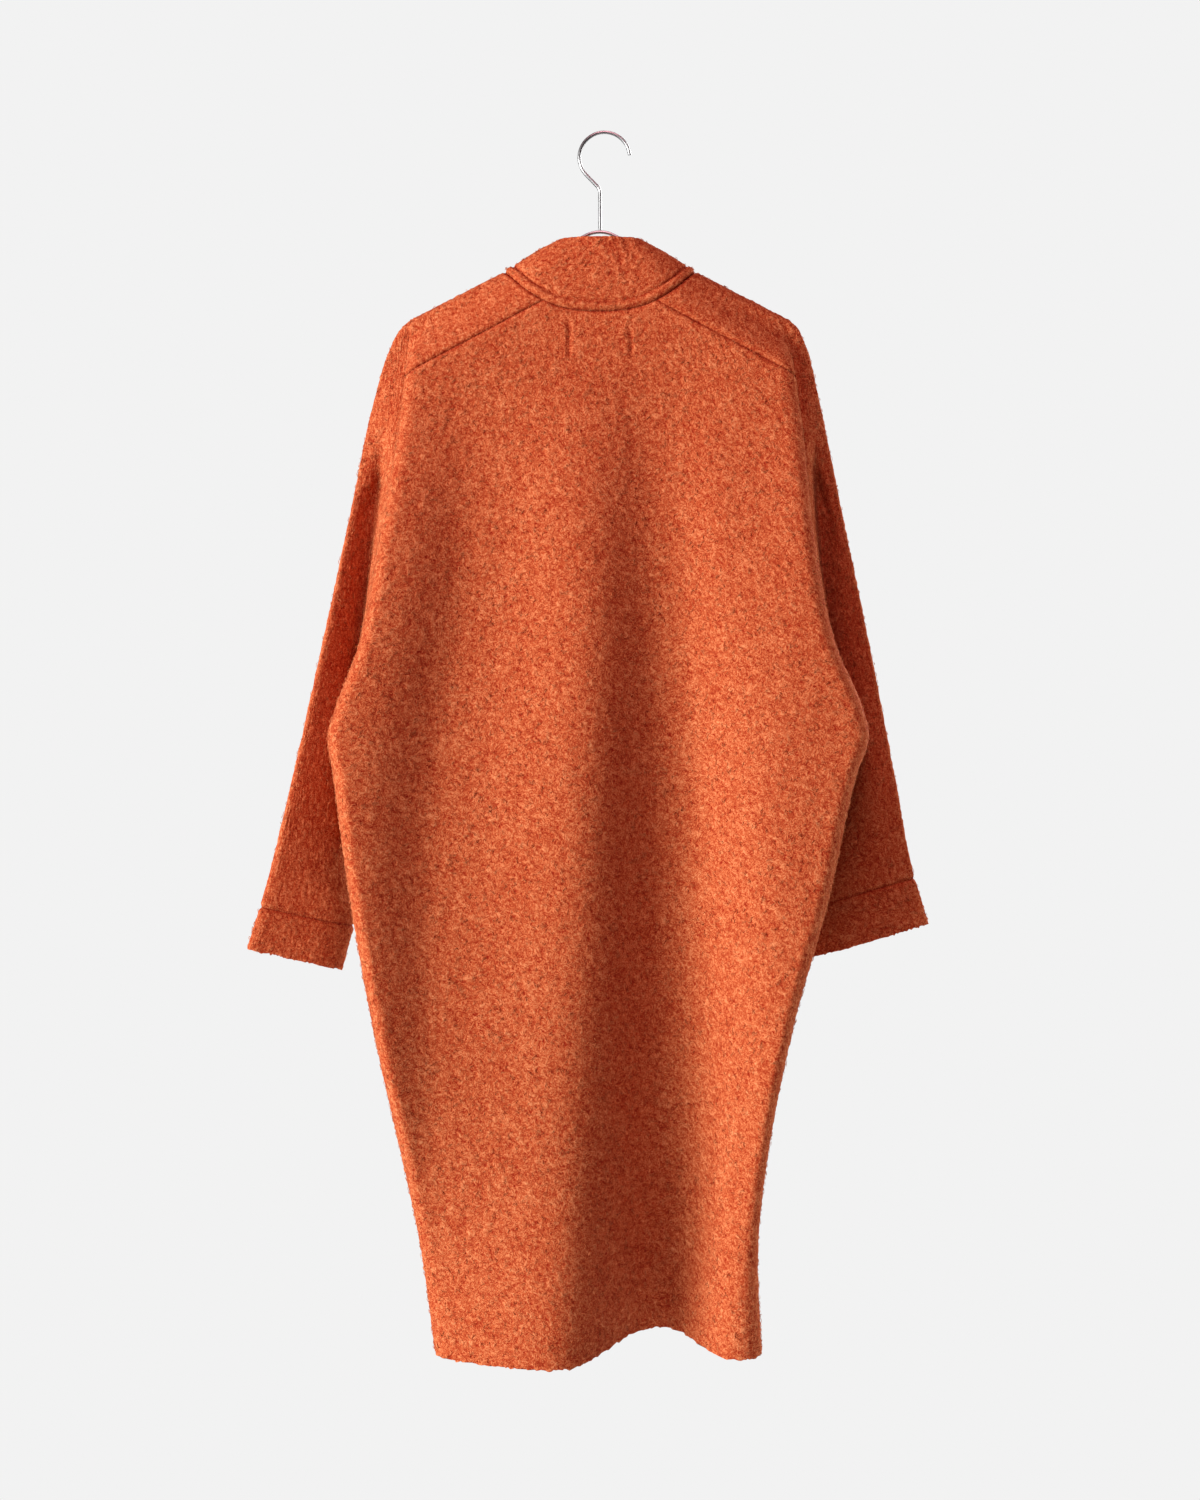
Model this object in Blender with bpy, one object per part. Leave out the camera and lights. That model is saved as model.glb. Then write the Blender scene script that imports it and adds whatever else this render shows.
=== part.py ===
"""A knit cocoon coat hanging on a wire hanger, with its back towards -Y. Metres, +Z up.

The origin is the point where the hanger's hook bears on a rail. "Drop" is a distance below that point.
The cloth is a wall of one thickness through computed sections. Each panel's edge follows a stretch of seam
that its neighbour shares, so the panels stay one seam gap apart everywhere.
"""

import math
from collections import namedtuple

import bmesh
import bpy
import numpy as np
from mathutils import Vector
from mathutils.kdtree import KDTree

# Cloth
WALL = 0.003
CUFF_WALL = 0.0045
SEAM_GAP = 0.0004
WELT_HEIGHT = 0.0012
SAME_POINT = 1e-5
TINY = 1e-9
SHARP_ANGLE = math.radians(50)

# Hanger, a bent wire
WIRE_RADIUS = 0.00175
WIRE_SEAT_GAP = 0.0004
HOOK_RADIUS = 0.0235 + WIRE_RADIUS
HOOK_TIP_ANGLE = math.radians(6)
HOOK_LEAVE_ANGLE = math.radians(224)
HOOK_OFFSET = 0.0045
STEM_BEND_RADIUS = 0.010
ARM_SLOPE = 0.514
ARM_MEET_DROP = 0.0943
ARM_BEND_RADIUS = 0.030
ARM_REACH = 0.186

# Shoulder: the cloth rolls over the wire arms
RIDGE_RADIUS = 0.009
RIDGE_NECK_X = 0.0955
RIDGE_END_X = 0.190
RIDGE_TURN = 0.45

# Neck seam and collar band
NECK_POWER = 2.6
NECK_DROP = 0.1813
YOKE_NECK_X = 0.056
COLLAR_EDGE_X = 0.041
COLLAR_EDGE_DROP = 0.106
COLLAR_EDGE_DEPTH = 0.021
COLLAR_BOW = 0.004
NECK_FRONT_RADIUS = 0.016
COLLAR_FRONT_RADIUS = 0.8 * NECK_FRONT_RADIUS
BAND_SEAM_X = 0.066
BAND_SEAM_HEM_X = 0.062
BAND_EDGE_X = 0.006
NECKLINE_STATIONS = 0.33
BAND_TURN = 0.8
NECK_FALL = 0.3

# Yoke seam, underarm and hem
YOKE_END_DROP = 0.245
YOKE_PASSES = 6
UNDERARM_DROP = 0.700
HEM_DROP = 1.209
HEM_DIP = 0.17
FRONT_HEM_DROP = 1.200
BACK_CORNER = 0.016
CORNER_WALK = 0.8
BACK_CROWN = (-0.15, 0.46)
CROWN_DROP = 0.90
CROWN_FADE = 0.28
FRONT_EDGE_SWELL = 0.026
EDGE_SWELL_POWER = 0.6
UNDERARM_POWER = 6
FRONT_SWELL = 0.006
HEAD_DROP = 0.27
HEAD_FADE = 0.10
HEAD_EDGE_POWER = 2.0

# The body by level: half widths, how far the side edge and the middle of the back stand towards -Y, how far
# the middle of the fronts stands towards +Y, and how round the fronts turn at the side seam
Body = namedtuple("Body", "drop left right edge bulge front roundness")
BODY = (
    Body(0.170, 0.1945, 0.1945, 0.010, 0.018, 0.016, 0.3),
    Body(0.245, 0.1945, 0.1945, 0.010, 0.021, 0.020, 0.3),
    Body(0.295, 0.200, 0.201, 0.011, 0.025, 0.024, 0.3),
    Body(0.410, 0.218, 0.212, 0.013, 0.046, 0.031, 0.3),
    Body(0.520, 0.239, 0.234, 0.016, 0.058, 0.035, 0.3),
    Body(0.575, 0.259, 0.257, 0.018, 0.061, 0.036, 0.3),
    Body(0.600, 0.266, 0.263, 0.018, 0.063, 0.037, 0.3),
    Body(0.640, 0.261, 0.251, 0.017, 0.066, 0.038, 0.3),
    Body(0.765, 0.244, 0.223, 0.012, 0.071, 0.042, 0.4),
    Body(0.885, 0.223, 0.190, 0.008, 0.073, 0.046, 0.6),
    Body(1.000, 0.199, 0.168, 0.004, 0.072, 0.050, 0.8),
    Body(1.110, 0.178, 0.157, 0.000, 0.074, 0.055, 1.0),
    Body(1.215, 0.164, 0.161, -0.004, 0.080, 0.060, 1.0),
)

# The back's long folds by level: the trough's middle, its reach to either side, and its depth
Fold = namedtuple("Fold", "drop middle left right depth")
CENTRE_FOLD = (
    Fold(0.200, 0.058, 0.048, 0.050, 0.000),
    Fold(0.300, 0.062, 0.050, 0.055, 0.010),
    Fold(0.370, 0.064, 0.052, 0.056, 0.019),
    Fold(0.470, 0.067, 0.054, 0.058, 0.031),
    Fold(0.570, 0.070, 0.057, 0.060, 0.042),
    Fold(0.700, 0.074, 0.062, 0.060, 0.055),
    Fold(0.850, 0.076, 0.066, 0.060, 0.066),
    Fold(1.000, 0.076, 0.069, 0.056, 0.079),
    Fold(1.100, 0.070, 0.067, 0.050, 0.090),
    Fold(1.215, 0.058, 0.061, 0.048, 0.111),
)
LEFT_FOLD = (
    Fold(0.240, -0.112, 0.055, 0.060, 0.000),
    Fold(0.370, -0.118, 0.050, 0.070, 0.014),
    Fold(0.470, -0.124, 0.052, 0.080, 0.022),
    Fold(0.570, -0.138, 0.056, 0.095, 0.026),
    Fold(0.670, -0.150, 0.056, 0.105, 0.026),
    Fold(0.770, -0.156, 0.050, 0.110, 0.023),
    Fold(0.870, -0.156, 0.045, 0.110, 0.018),
    Fold(0.970, -0.154, 0.042, 0.105, 0.014),
    Fold(1.100, -0.150, 0.040, 0.095, 0.009),
    Fold(1.215, -0.146, 0.036, 0.080, 0.003),
)
RIGHT_FOLD = (
    Fold(0.260, 0.145, 0.028, 0.030, 0.000),
    Fold(0.340, 0.146, 0.028, 0.030, 0.004),
    Fold(0.500, 0.150, 0.030, 0.032, 0.004),
    Fold(0.700, 0.155, 0.030, 0.032, 0.000),
)
BACK_FOLDS = (CENTRE_FOLD, LEFT_FOLD, RIGHT_FOLD)
FOLD_POWER = 2.4

# Each sleeve from its armhole (0) to its cuff seam (1) and the cuff's end: the outer and the inner edge of the
# flattened tube, then how far behind the hanger its axis lies at its middle and at those edges, and half its depth
Sleeve = namedtuple("Sleeve", "along outer_x outer_drop inner_x inner_drop depth inner_y outer_y half")
CUFF_END = 1.07
SLEEVES = {
    "left": (
        Sleeve(0.00, 0.190, 0.186, 0.2525, 0.700, 0.012, -0.010, 0.000, 0.015),
        Sleeve(0.05, 0.200, 0.1955, 0.2525, 0.706, 0.030, 0.022, 0.004, 0.015),
        Sleeve(0.10, 0.210, 0.214, 0.2525, 0.712, 0.048, 0.040, 0.008, 0.017),
        Sleeve(0.20, 0.2255, 0.262, 0.252, 0.724, 0.056, 0.052, 0.012, 0.020),
        Sleeve(0.40, 0.2525, 0.385, 0.251, 0.743, 0.054, 0.056, 0.014, 0.026),
        Sleeve(0.60, 0.280, 0.515, 0.2505, 0.759, 0.048, 0.058, 0.010, 0.026),
        Sleeve(0.80, 0.312, 0.660, 0.2505, 0.776, 0.043, 0.056, 0.005, 0.024),
        Sleeve(1.00, 0.3407, 0.7727, 0.2507, 0.795, 0.038, 0.051, 0.004, 0.0235),
        Sleeve(CUFF_END, 0.354, 0.815, 0.262, 0.839, 0.036, 0.047, 0.004, 0.0235),
    ),
    "right": (
        Sleeve(0.00, 0.190, 0.186, 0.2375, 0.700, 0.012, -0.010, 0.000, 0.015),
        Sleeve(0.05, 0.199, 0.1955, 0.2375, 0.706, 0.030, 0.022, 0.004, 0.015),
        Sleeve(0.10, 0.207, 0.214, 0.237, 0.712, 0.048, 0.040, 0.008, 0.017),
        Sleeve(0.20, 0.219, 0.262, 0.236, 0.722, 0.056, 0.052, 0.012, 0.020),
        Sleeve(0.40, 0.245, 0.385, 0.232, 0.738, 0.054, 0.056, 0.014, 0.026),
        Sleeve(0.60, 0.2715, 0.515, 0.224, 0.752, 0.048, 0.058, 0.010, 0.026),
        Sleeve(0.80, 0.297, 0.650, 0.213, 0.766, 0.043, 0.056, 0.005, 0.024),
        Sleeve(1.00, 0.3155, 0.744, 0.200, 0.780, 0.038, 0.051, 0.003, 0.021),
        Sleeve(CUFF_END, 0.329, 0.790, 0.2155, 0.827, 0.036, 0.047, 0.002, 0.021),
    ),
}
SLEEVE_FOLD_REACH = 0.10
SLEEVE_HEAD_REACH = 0.40
SLEEVE_HEAD_HEIGHT = 0.70
SLEEVE_HEAD_FADE = 0.20
SLEEVE_EASE_REACH = 0.35
SLEEVE_LEAN = 0.40
SLEEVE_ROUNDNESS = (3.4, 2.3)
SLEEVE_EDGE_POWER = 3
SIDE_SIGN = {"left": -1, "right": 1}

# A station runs along a front panel's edges: yoke seam (-1), shoulder ridge (0), front of the ridge (1),
# underarm (2) and hem (3). The back's side edges share stations 1 to 3, from the yoke seam's end to the hem.
YOKE_STATIONS = (-1.0, -0.72, -0.45, -0.3, -0.15)
RIDGE_STATIONS = (0.0, 0.33, 0.66)
ARMHOLE_SHARES = (0.0, 0.14, 0.28, 0.42, 0.55, 0.66, 0.75, 0.83, 0.90, 0.96)
SIDE_STEPS = 13
WING_COLUMNS = 9
NECK_COLUMNS = 8
SLEEVE_STATIONS = (0.0, 0.015, 0.035, 0.06, 0.10, 0.16, 0.25, 0.36, 0.48, 0.60, 0.71, 0.81, 0.90, 0.96, 1.0)
CUFF_STATIONS = (1.0, 1.025, 1.05, CUFF_END)
WELT_SHARES = (0.0, 0.06, 0.12, 0.16)
COLLAR_SHARES = WELT_SHARES + (0.55, 1.0)

WOOL_COLOUR = (0.55, 0.095, 0.028, 1.0)
WOOL_ROUGHNESS = 0.95
STEEL_COLOUR = (0.62, 0.61, 0.59, 1.0)
STEEL_ROUGHNESS = 0.32


def through(rows, column, at):
    """A smooth curve through one column of a table, read at the places given along its first column."""
    places = np.array([row[0] for row in rows])
    values = np.array([getattr(row, column) for row in rows])
    slopes = np.gradient(values, places)
    at = np.clip(at, places[0], places[-1])
    low = np.clip(np.searchsorted(places, at) - 1, 0, len(places) - 2)
    span = places[low + 1] - places[low]
    share = (at - places[low]) / span
    rise = share * share * (3 - 2 * share)
    start_lean = share * (1 - share) ** 2 * span * slopes[low]
    end_lean = share * share * (share - 1) * span * slopes[low + 1]
    return values[low] * (1 - rise) + values[low + 1] * rise + start_lean + end_lean


def ease(share):
    share = np.clip(share, 0.0, 1.0)
    return share * share * (3 - 2 * share)


def blend(first, second, share):
    return first + (second - first) * share


def arm_drop(x):
    return ARM_MEET_DROP + ARM_SLOPE * abs(x)


def ridge_drop(x):
    """The top of the cloth on the hanger's arm, square to the arm's slope."""
    off_wire = WIRE_RADIUS + WIRE_SEAT_GAP + WALL
    return arm_drop(x) - off_wire * math.hypot(1, ARM_SLOPE)


def neck_drop(x):
    """The neck seam across the back, from the ridge to its lowest point in the middle."""
    ridge = ridge_drop(RIDGE_NECK_X)
    return ridge + (NECK_DROP - ridge) * (1 - (np.abs(x) / RIDGE_NECK_X) ** NECK_POWER)


# Back panel


def fold_depth(fold, x, drop):
    """How deep one trough is at a place on the back."""
    off = x - through(fold, "middle", drop)
    reach = np.where(off < 0, through(fold, "left", drop), through(fold, "right", drop))
    return through(fold, "depth", drop) * np.exp(-np.abs(off / reach) ** FOLD_POWER)


def section_walk(side_half, bulge):
    """How far the flat middle and the turned corner of half a section reach along the cloth."""
    return side_half - BACK_CORNER, CORNER_WALK * (BACK_CORNER + bulge)


def back_section(across, drop):
    """x and y on the back's section at a level, for a share from -1 (left edge) to 1 (right edge)."""
    half = np.where(across < 0, through(BODY, "left", drop), through(BODY, "right", drop))
    bulge = through(BODY, "bulge", drop)
    flat, turn = section_walk(half, bulge)
    walked = np.abs(across) * (flat + turn)
    angle = np.clip((walked - flat) / turn, 0, 1) * math.pi / 2
    reach = np.where(walked < flat, walked, flat + BACK_CORNER * np.sin(angle))
    # The edge lies flatter beside the shoulder, where it runs on into the sleeve's head
    arch = np.cos(angle) ** blend(HEAD_EDGE_POWER, 1.0, ease((drop - HEAD_DROP) / HEAD_FADE))
    x = np.sign(across) * reach
    # The sides stand out further than the middle, except near the hem
    lower = blend(*BACK_CROWN, ease((drop - CROWN_DROP) / CROWN_FADE))
    crown = 1 - lower * (reach / half) ** 2
    folds = sum(fold_depth(fold, x, drop) for fold in BACK_FOLDS)
    stand = through(BODY, "edge", drop) + bulge * arch * crown - folds * arch
    return x, -stand


def neck_share(side):
    """The share across the back where the yoke seam meets the neck seam."""
    drop = neck_drop(YOKE_NECK_X)
    return YOKE_NECK_X / sum(section_walk(through(BODY, side, drop), through(BODY, "bulge", drop)))


def back_top_drop(across):
    """The back's upper edge: the neck seam in the middle, a straight yoke seam to either side of it."""
    top = np.full_like(across, YOKE_END_DROP)
    for _ in range(YOKE_PASSES):
        x = np.abs(back_section(across, top)[0])
        along = (x - YOKE_NECK_X) / (through(BODY, "left", YOKE_END_DROP) - YOKE_NECK_X)
        yoke = blend(neck_drop(YOKE_NECK_X), YOKE_END_DROP, along)
        top = np.where(x < YOKE_NECK_X, neck_drop(x), yoke)
    return top


def side_drop(station):
    """The drop of the back's side edge and of the side seam at a station from 1 to 3."""
    hem = HEM_DROP + HEM_DIP * through(BODY, "edge", HEM_DROP)
    armhole = blend(YOKE_END_DROP, UNDERARM_DROP, np.clip(station - 1, 0, 1))
    return np.where(station < 2, armhole, blend(UNDERARM_DROP, hem, np.clip(station - 2, 0, 1)))


def back_points(across, stations):
    """The back panel's grid: a row for each station, a column for each share across."""
    across = np.asarray(across)[None, :]
    stations = np.asarray(stations)[:, None]
    top = back_top_drop(across)
    _, hem_y = back_section(across, HEM_DROP)
    hem = HEM_DROP - HEM_DIP * hem_y
    edge_hem = float(side_drop(np.array(3.0)))
    share = (side_drop(stations) - YOKE_END_DROP) / (edge_hem - YOKE_END_DROP)
    drop = blend(top, hem, share)
    x, y = back_section(across + 0 * drop, drop)
    return np.stack([x, y, -drop], axis=-1)


# Front panels, which reach over the shoulder to the yoke seam

YOKE = np.array([[-1.0]])


def outer_edge(side, station):
    """A front's outer edge: yoke end, over the shoulder's end, down the armhole, down the side seam."""
    sign = SIDE_SIGN[side]
    ridge = ridge_drop(RIDGE_END_X)
    yoke_x = through(BODY, side, YOKE_END_DROP)
    yoke_y = -through(BODY, "edge", YOKE_END_DROP)
    # The back of the ridge: a hanging stretch, then a quarter turn over the wire
    hanging = np.clip((-RIDGE_TURN - station) / (1 - RIDGE_TURN), 0, 1)
    turn = np.clip(station / RIDGE_TURN + 1, 0, 1) * math.pi / 2
    back_x = blend(RIDGE_END_X, yoke_x, hanging)
    back_y = blend(-RIDGE_RADIUS * np.cos(turn), yoke_y, hanging)
    back_drop = blend(ridge + RIDGE_RADIUS * (1 - np.sin(turn)), YOKE_END_DROP, hanging)
    # The front of the ridge: the other quarter turn
    turn = np.clip(station, 0, 1) * math.pi / 2
    ridge_y = RIDGE_RADIUS * np.sin(turn)
    front_drop = ridge + RIDGE_RADIUS * (1 - np.cos(turn))
    # The front armhole, then the side seam
    down = np.clip(station - 1, 0, 1)
    armhole_drop = blend(ridge + RIDGE_RADIUS, UNDERARM_DROP, down)
    underarm_y = -through(BODY, "edge", UNDERARM_DROP)
    armhole_x = blend(RIDGE_END_X, through(BODY, side, UNDERARM_DROP), down)
    swell = FRONT_EDGE_SWELL * (4 * down * (1 - down)) ** EDGE_SWELL_POWER
    armhole_y = blend(RIDGE_RADIUS, underarm_y, down ** UNDERARM_POWER) + swell
    seam_drop = side_drop(station)
    seam_x = through(BODY, side, seam_drop)
    seam_y = -through(BODY, "edge", seam_drop)
    stretches = [station < 0, station < 1, station < 2]
    x = np.select(stretches, [back_x, RIDGE_END_X + 0 * station, armhole_x], seam_x)
    y = np.select(stretches, [back_y, ridge_y, armhole_y], seam_y)
    drop = np.select(stretches, [back_drop, front_drop, armhole_drop], seam_drop)
    return sign * x, y, drop


def inner_edge(side, station):
    """A front's inner edge: the neck seam to the ridge, then the band seam down the front."""
    sign = SIDE_SIGN[side]
    ridge = ridge_drop(RIDGE_NECK_X)
    neck_y = back_section(np.array(sign * neck_share(side)), neck_drop(YOKE_NECK_X))[1]
    turn = np.clip(station + 1, 0, 1) * math.pi / 2
    neck_x = blend(YOKE_NECK_X, RIDGE_NECK_X, np.sin(turn))
    back_drop = neck_drop(neck_x)
    back_y = neck_y * np.cos(turn)
    turn = np.clip(station, 0, 1) * math.pi / 2
    ridge_y = NECK_FRONT_RADIUS * np.sin(turn)
    front_drop = ridge + NECK_FRONT_RADIUS * (1 - np.cos(turn))
    down = np.clip(station - 1, 0, 1)
    lower = np.clip(station - 2, 0, 1)
    seam_x = blend(blend(RIDGE_NECK_X, BAND_SEAM_X, ease(down / BAND_TURN)), BAND_SEAM_HEM_X, lower)
    seam_drop = blend(blend(ridge + NECK_FRONT_RADIUS, UNDERARM_DROP, down), FRONT_HEM_DROP, lower)
    seam_y = blend(NECK_FRONT_RADIUS, through(BODY, "front", seam_drop), ease(down / NECK_FALL))
    stretches = [station < 0, station < 1]
    x = np.select(stretches, [neck_x, RIDGE_NECK_X + 0 * station], seam_x)
    y = np.select(stretches, [back_y, ridge_y], seam_y)
    drop = np.select(stretches, [back_drop, front_drop], seam_drop)
    return sign * x, y, drop


def front_points(side, shares, stations):
    """A front panel's grid: a row for each station, a column for each share from its outer to its inner edge."""
    share = np.asarray(shares)[None, :]
    station = np.asarray(stations)[:, None]
    outer = outer_edge(side, station)
    inner = inner_edge(side, station)
    # Lower down, the front swells a little and turns at its side
    quarter = np.sqrt(1 - (1 - share) ** 2)
    drop = blend(outer[2], inner[2], share)
    roundness = through(BODY, "roundness", drop) * ease((station - 1.5) / 0.5)
    swell = ease(station - 1) * FRONT_SWELL * np.sin(math.pi * share)
    y = blend(outer[1], inner[1], blend(share, quarter, roundness)) + swell
    points = np.stack([blend(outer[0], inner[0], share), y, -drop], axis=-1)
    # The yoke's first row lies on the back's upper edge
    across = SIDE_SIGN[side] * blend(1, neck_share(side), share[0])
    seam = back_points(across, (1.0,))
    first = np.stack([blend(o, i, share) for o, i in zip(outer_edge(side, YOKE), inner_edge(side, YOKE))], axis=-1)
    first = first * (1, 1, -1)
    return points + (seam - first) * ease((-RIDGE_TURN - station) / (1 - RIDGE_TURN))[..., None]


# Sleeves and cuffs


def armhole_loop(side):
    """The armhole's seam, from the underarm up the back, over the shoulder and down the front to the underarm."""
    back_stations = np.array(SIDE_STATIONS[len(ARMHOLE_SHARES)::-1])
    front_stations = np.array(FRONT_STATIONS[1:FRONT_STATIONS.index(2.0)])
    edge = 0 if side == "left" else -1
    back = back_points((-1.0, 1.0), back_stations)[:, edge]
    front = np.stack(outer_edge(side, front_stations), axis=-1) * (1, 1, -1)
    facing = np.where(front_stations < 0, -1, 1)
    return np.concatenate([back, front]), np.concatenate([-np.ones(len(back)), facing])


def sleeve_points(side, stations):
    """A sleeve's rings: a row for each station from the armhole to the cuff, a column round the armhole's loop."""
    loop, facing = armhole_loop(side)
    rows = SLEEVES[side]
    sign = SIDE_SIGN[side]
    station = np.asarray(stations)[:, None]
    ridge = ridge_drop(RIDGE_END_X)
    # How far up the sleeve's depth each point of the loop lies: 0 at the underarm, 1 on the shoulder's ridge
    height = np.clip((UNDERARM_DROP + loop[:, 2]) / (UNDERARM_DROP - ridge), 0, 1)[None, :]
    # Towards the cuff the points spread evenly round the tube
    steps = np.arange(len(loop))
    top = int(np.argmax(height))
    half_way = np.where(steps <= top, steps / top, (len(loop) - steps) / (len(loop) - top))
    height = blend(height, (1 - np.cos(math.pi * half_way)) / 2, ease(station))
    x = blend(through(rows, "inner_x", station), through(rows, "outer_x", station), height)
    drop = blend(through(rows, "inner_drop", station), through(rows, "outer_drop", station), height)
    first_x = blend(rows[0].inner_x, rows[0].outer_x, height)
    first_drop = blend(rows[0].inner_drop, rows[0].outer_drop, height)
    left_over = 1 - ease(station / SLEEVE_EASE_REACH)
    x = x + (sign * loop[:, 0] - first_x) * left_over
    drop = drop + (-loop[:, 2] - first_drop) * left_over
    power = blend(*SLEEVE_ROUNDNESS, ease(2 * station))
    thick = (1 - np.abs(2 * height - 1) ** power) ** (1 / power)
    middle_y = through(rows, "depth", station)
    axis_y = blend(middle_y, through(rows, "inner_y", station), (1 - height) ** SLEEVE_EDGE_POWER)
    axis_y = axis_y + (through(rows, "outer_y", station) - middle_y) * height ** SLEEVE_EDGE_POWER
    tube_y = axis_y + facing * through(rows, "half", station) * thick
    # The tube falls back behind the body's edge at once lower down, and slowly below the shoulder
    head = ease((height - SLEEVE_HEAD_HEIGHT) / SLEEVE_HEAD_FADE)
    folded = ease(station / blend(SLEEVE_FOLD_REACH, SLEEVE_HEAD_REACH, head))
    y = blend(loop[:, 1], tube_y, folded)
    # Near its inner edge the tube's front half lies further in than its back half
    lean = SLEEVE_LEAN * folded * (1 - ease(2 * station - 1)) * (1 - height)
    x = x - facing * lean * through(rows, "half", station) * thick
    return np.stack([sign * x, y, -drop], axis=-1)


# Collar and front bands


def free_edge(side, station):
    """The band's free edge opposite a point of the neck or band seam, on one side of the coat."""
    sign = SIDE_SIGN[side]
    narrow = COLLAR_EDGE_X / RIDGE_NECK_X
    turn = np.clip(station + 1, 0, 1) * math.pi / 2
    neck_x = narrow * blend(YOKE_NECK_X, RIDGE_NECK_X, np.sin(turn))
    neck_y = -COLLAR_EDGE_DEPTH * np.sqrt(1 - (YOKE_NECK_X / RIDGE_NECK_X) ** 2) * np.cos(turn)
    over = np.clip(station, 0, 1)
    closing = ease((station - 1) / NECKLINE_STATIONS)
    seam_x, seam_y, seam_drop = inner_edge(side, station)
    ridge_y = COLLAR_FRONT_RADIUS * np.sin(over * math.pi / 2)
    lift = (ridge_drop(RIDGE_NECK_X) - COLLAR_EDGE_DROP) * (1 - closing)
    x = np.where(station < 0, neck_x, blend(COLLAR_EDGE_X, BAND_EDGE_X, closing))
    y = np.select([station < 0, station < 1], [neck_y, ridge_y], blend(COLLAR_FRONT_RADIUS, seam_y, closing))
    drop = np.where(station < 0, COLLAR_EDGE_DROP, seam_drop - lift)
    return sign * x, y, drop


def neck_line(shares):
    """The neck seam across the back panel and the collar's free edge above it."""
    seam = back_points(shares, (1.0,))[0]
    x = seam[:, 0] * COLLAR_EDGE_X / RIDGE_NECK_X
    y = -COLLAR_EDGE_DEPTH * np.sqrt(1 - (x / COLLAR_EDGE_X) ** 2)
    edge = np.stack([x, y, np.full_like(x, -COLLAR_EDGE_DROP)], axis=-1)
    return seam, edge


def side_line(side, stations):
    """The neck or band seam and the free edge along one front."""
    stations = np.asarray(stations)
    seam = np.stack(inner_edge(side, stations), axis=-1) * (1, 1, -1)
    edge = np.stack(free_edge(side, stations), axis=-1) * (1, 1, -1)
    return seam, edge


def strip_points(neck_shares, stations, shares):
    """The collar and both bands in one strip, from the left front's hem round the neck to the right front's hem.

    The strip lies between its seam and its free edge, bowed a little towards its outer side.
    """
    lines = [side_line("left", stations[:0:-1]), neck_line(neck_shares), side_line("right", stations[1:])]
    seam, edge = (np.concatenate(parts) for parts in zip(*lines))
    share = np.asarray(shares)[None, :, None]
    points = blend(seam[:, None], edge[:, None], share)
    out = np.cross(np.gradient(seam, axis=0), edge - seam)
    out /= np.linalg.norm(out, axis=1, keepdims=True)
    return points + COLLAR_BOW * np.sin(math.pi * share) * np.abs(out[:, None, 1:2]) * out[:, None]


# Walls


Panel = namedtuple("Panel", "points turned closed wall seams welt")


def grid_normals(panel):
    """Unit normals of a panel's grid, pointing out of the garment."""
    points = panel.points
    down = np.gradient(points, axis=0)
    if panel.closed:
        wrapped = np.concatenate([points[:, -1:], points, points[:, :1]], axis=1)
        across = (wrapped[:, 2:] - wrapped[:, :-2]) / 2
    else:
        across = np.gradient(points, axis=1)
    normal = np.cross(down, across)
    size = np.linalg.norm(normal, axis=-1, keepdims=True)
    normal = normal / np.maximum(size, TINY)
    return -normal if panel.turned else normal


def shared_normals(panels):
    """Each panel's normals, averaged where seams of two or more panels meet."""
    own = {name: grid_normals(panel).reshape(-1, 3) for name, panel in panels.items()}
    places = {name: panel.points.reshape(-1, 3) for name, panel in panels.items()}
    tree = KDTree(sum(len(rows) for rows in places.values()))
    normals = []
    for name, rows in places.items():
        for place, normal in zip(rows, own[name]):
            tree.insert(place, len(normals))
            normals.append(normal)
    tree.balance()
    shared = {}
    for name, rows in places.items():
        found = [sum(normals[i] for _, i, _ in tree.find_range(place, SAME_POINT)) for place in rows]
        found = np.array(found)
        size = np.linalg.norm(found, axis=1, keepdims=True)
        shared[name] = (found / np.maximum(size, TINY)).reshape(panels[name].points.shape)
    return shared


def draw_in(points, seams, closed):
    """Moves the seam edges of a grid inwards by half a seam gap."""
    moved = points.copy()
    edges = {"top": (np.s_[0], np.s_[1]), "bottom": (np.s_[-1], np.s_[-2])}
    if not closed:
        edges.update(first=(np.s_[:, 0], np.s_[:, 1]), last=(np.s_[:, -1], np.s_[:, -2]))
    for name in seams:
        edge, inside = edges[name]
        way = points[inside] - points[edge]
        way = way / np.maximum(np.linalg.norm(way, axis=-1, keepdims=True), TINY)
        moved[edge] += way * SEAM_GAP / 2
    return moved


def material(name, colour, roughness, metallic):
    made = bpy.data.materials.new(name)
    made.use_nodes = True
    shader = made.node_tree.nodes["Principled BSDF"]
    shader.inputs["Base Color"].default_value = colour
    shader.inputs["Roughness"].default_value = roughness
    shader.inputs["Metallic"].default_value = metallic
    return made


def add_object(name, data, finish, parent):
    data.materials.append(finish)
    made = bpy.data.objects.new(name, data)
    made.parent = parent
    bpy.context.scene.collection.objects.link(made)
    return made


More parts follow.
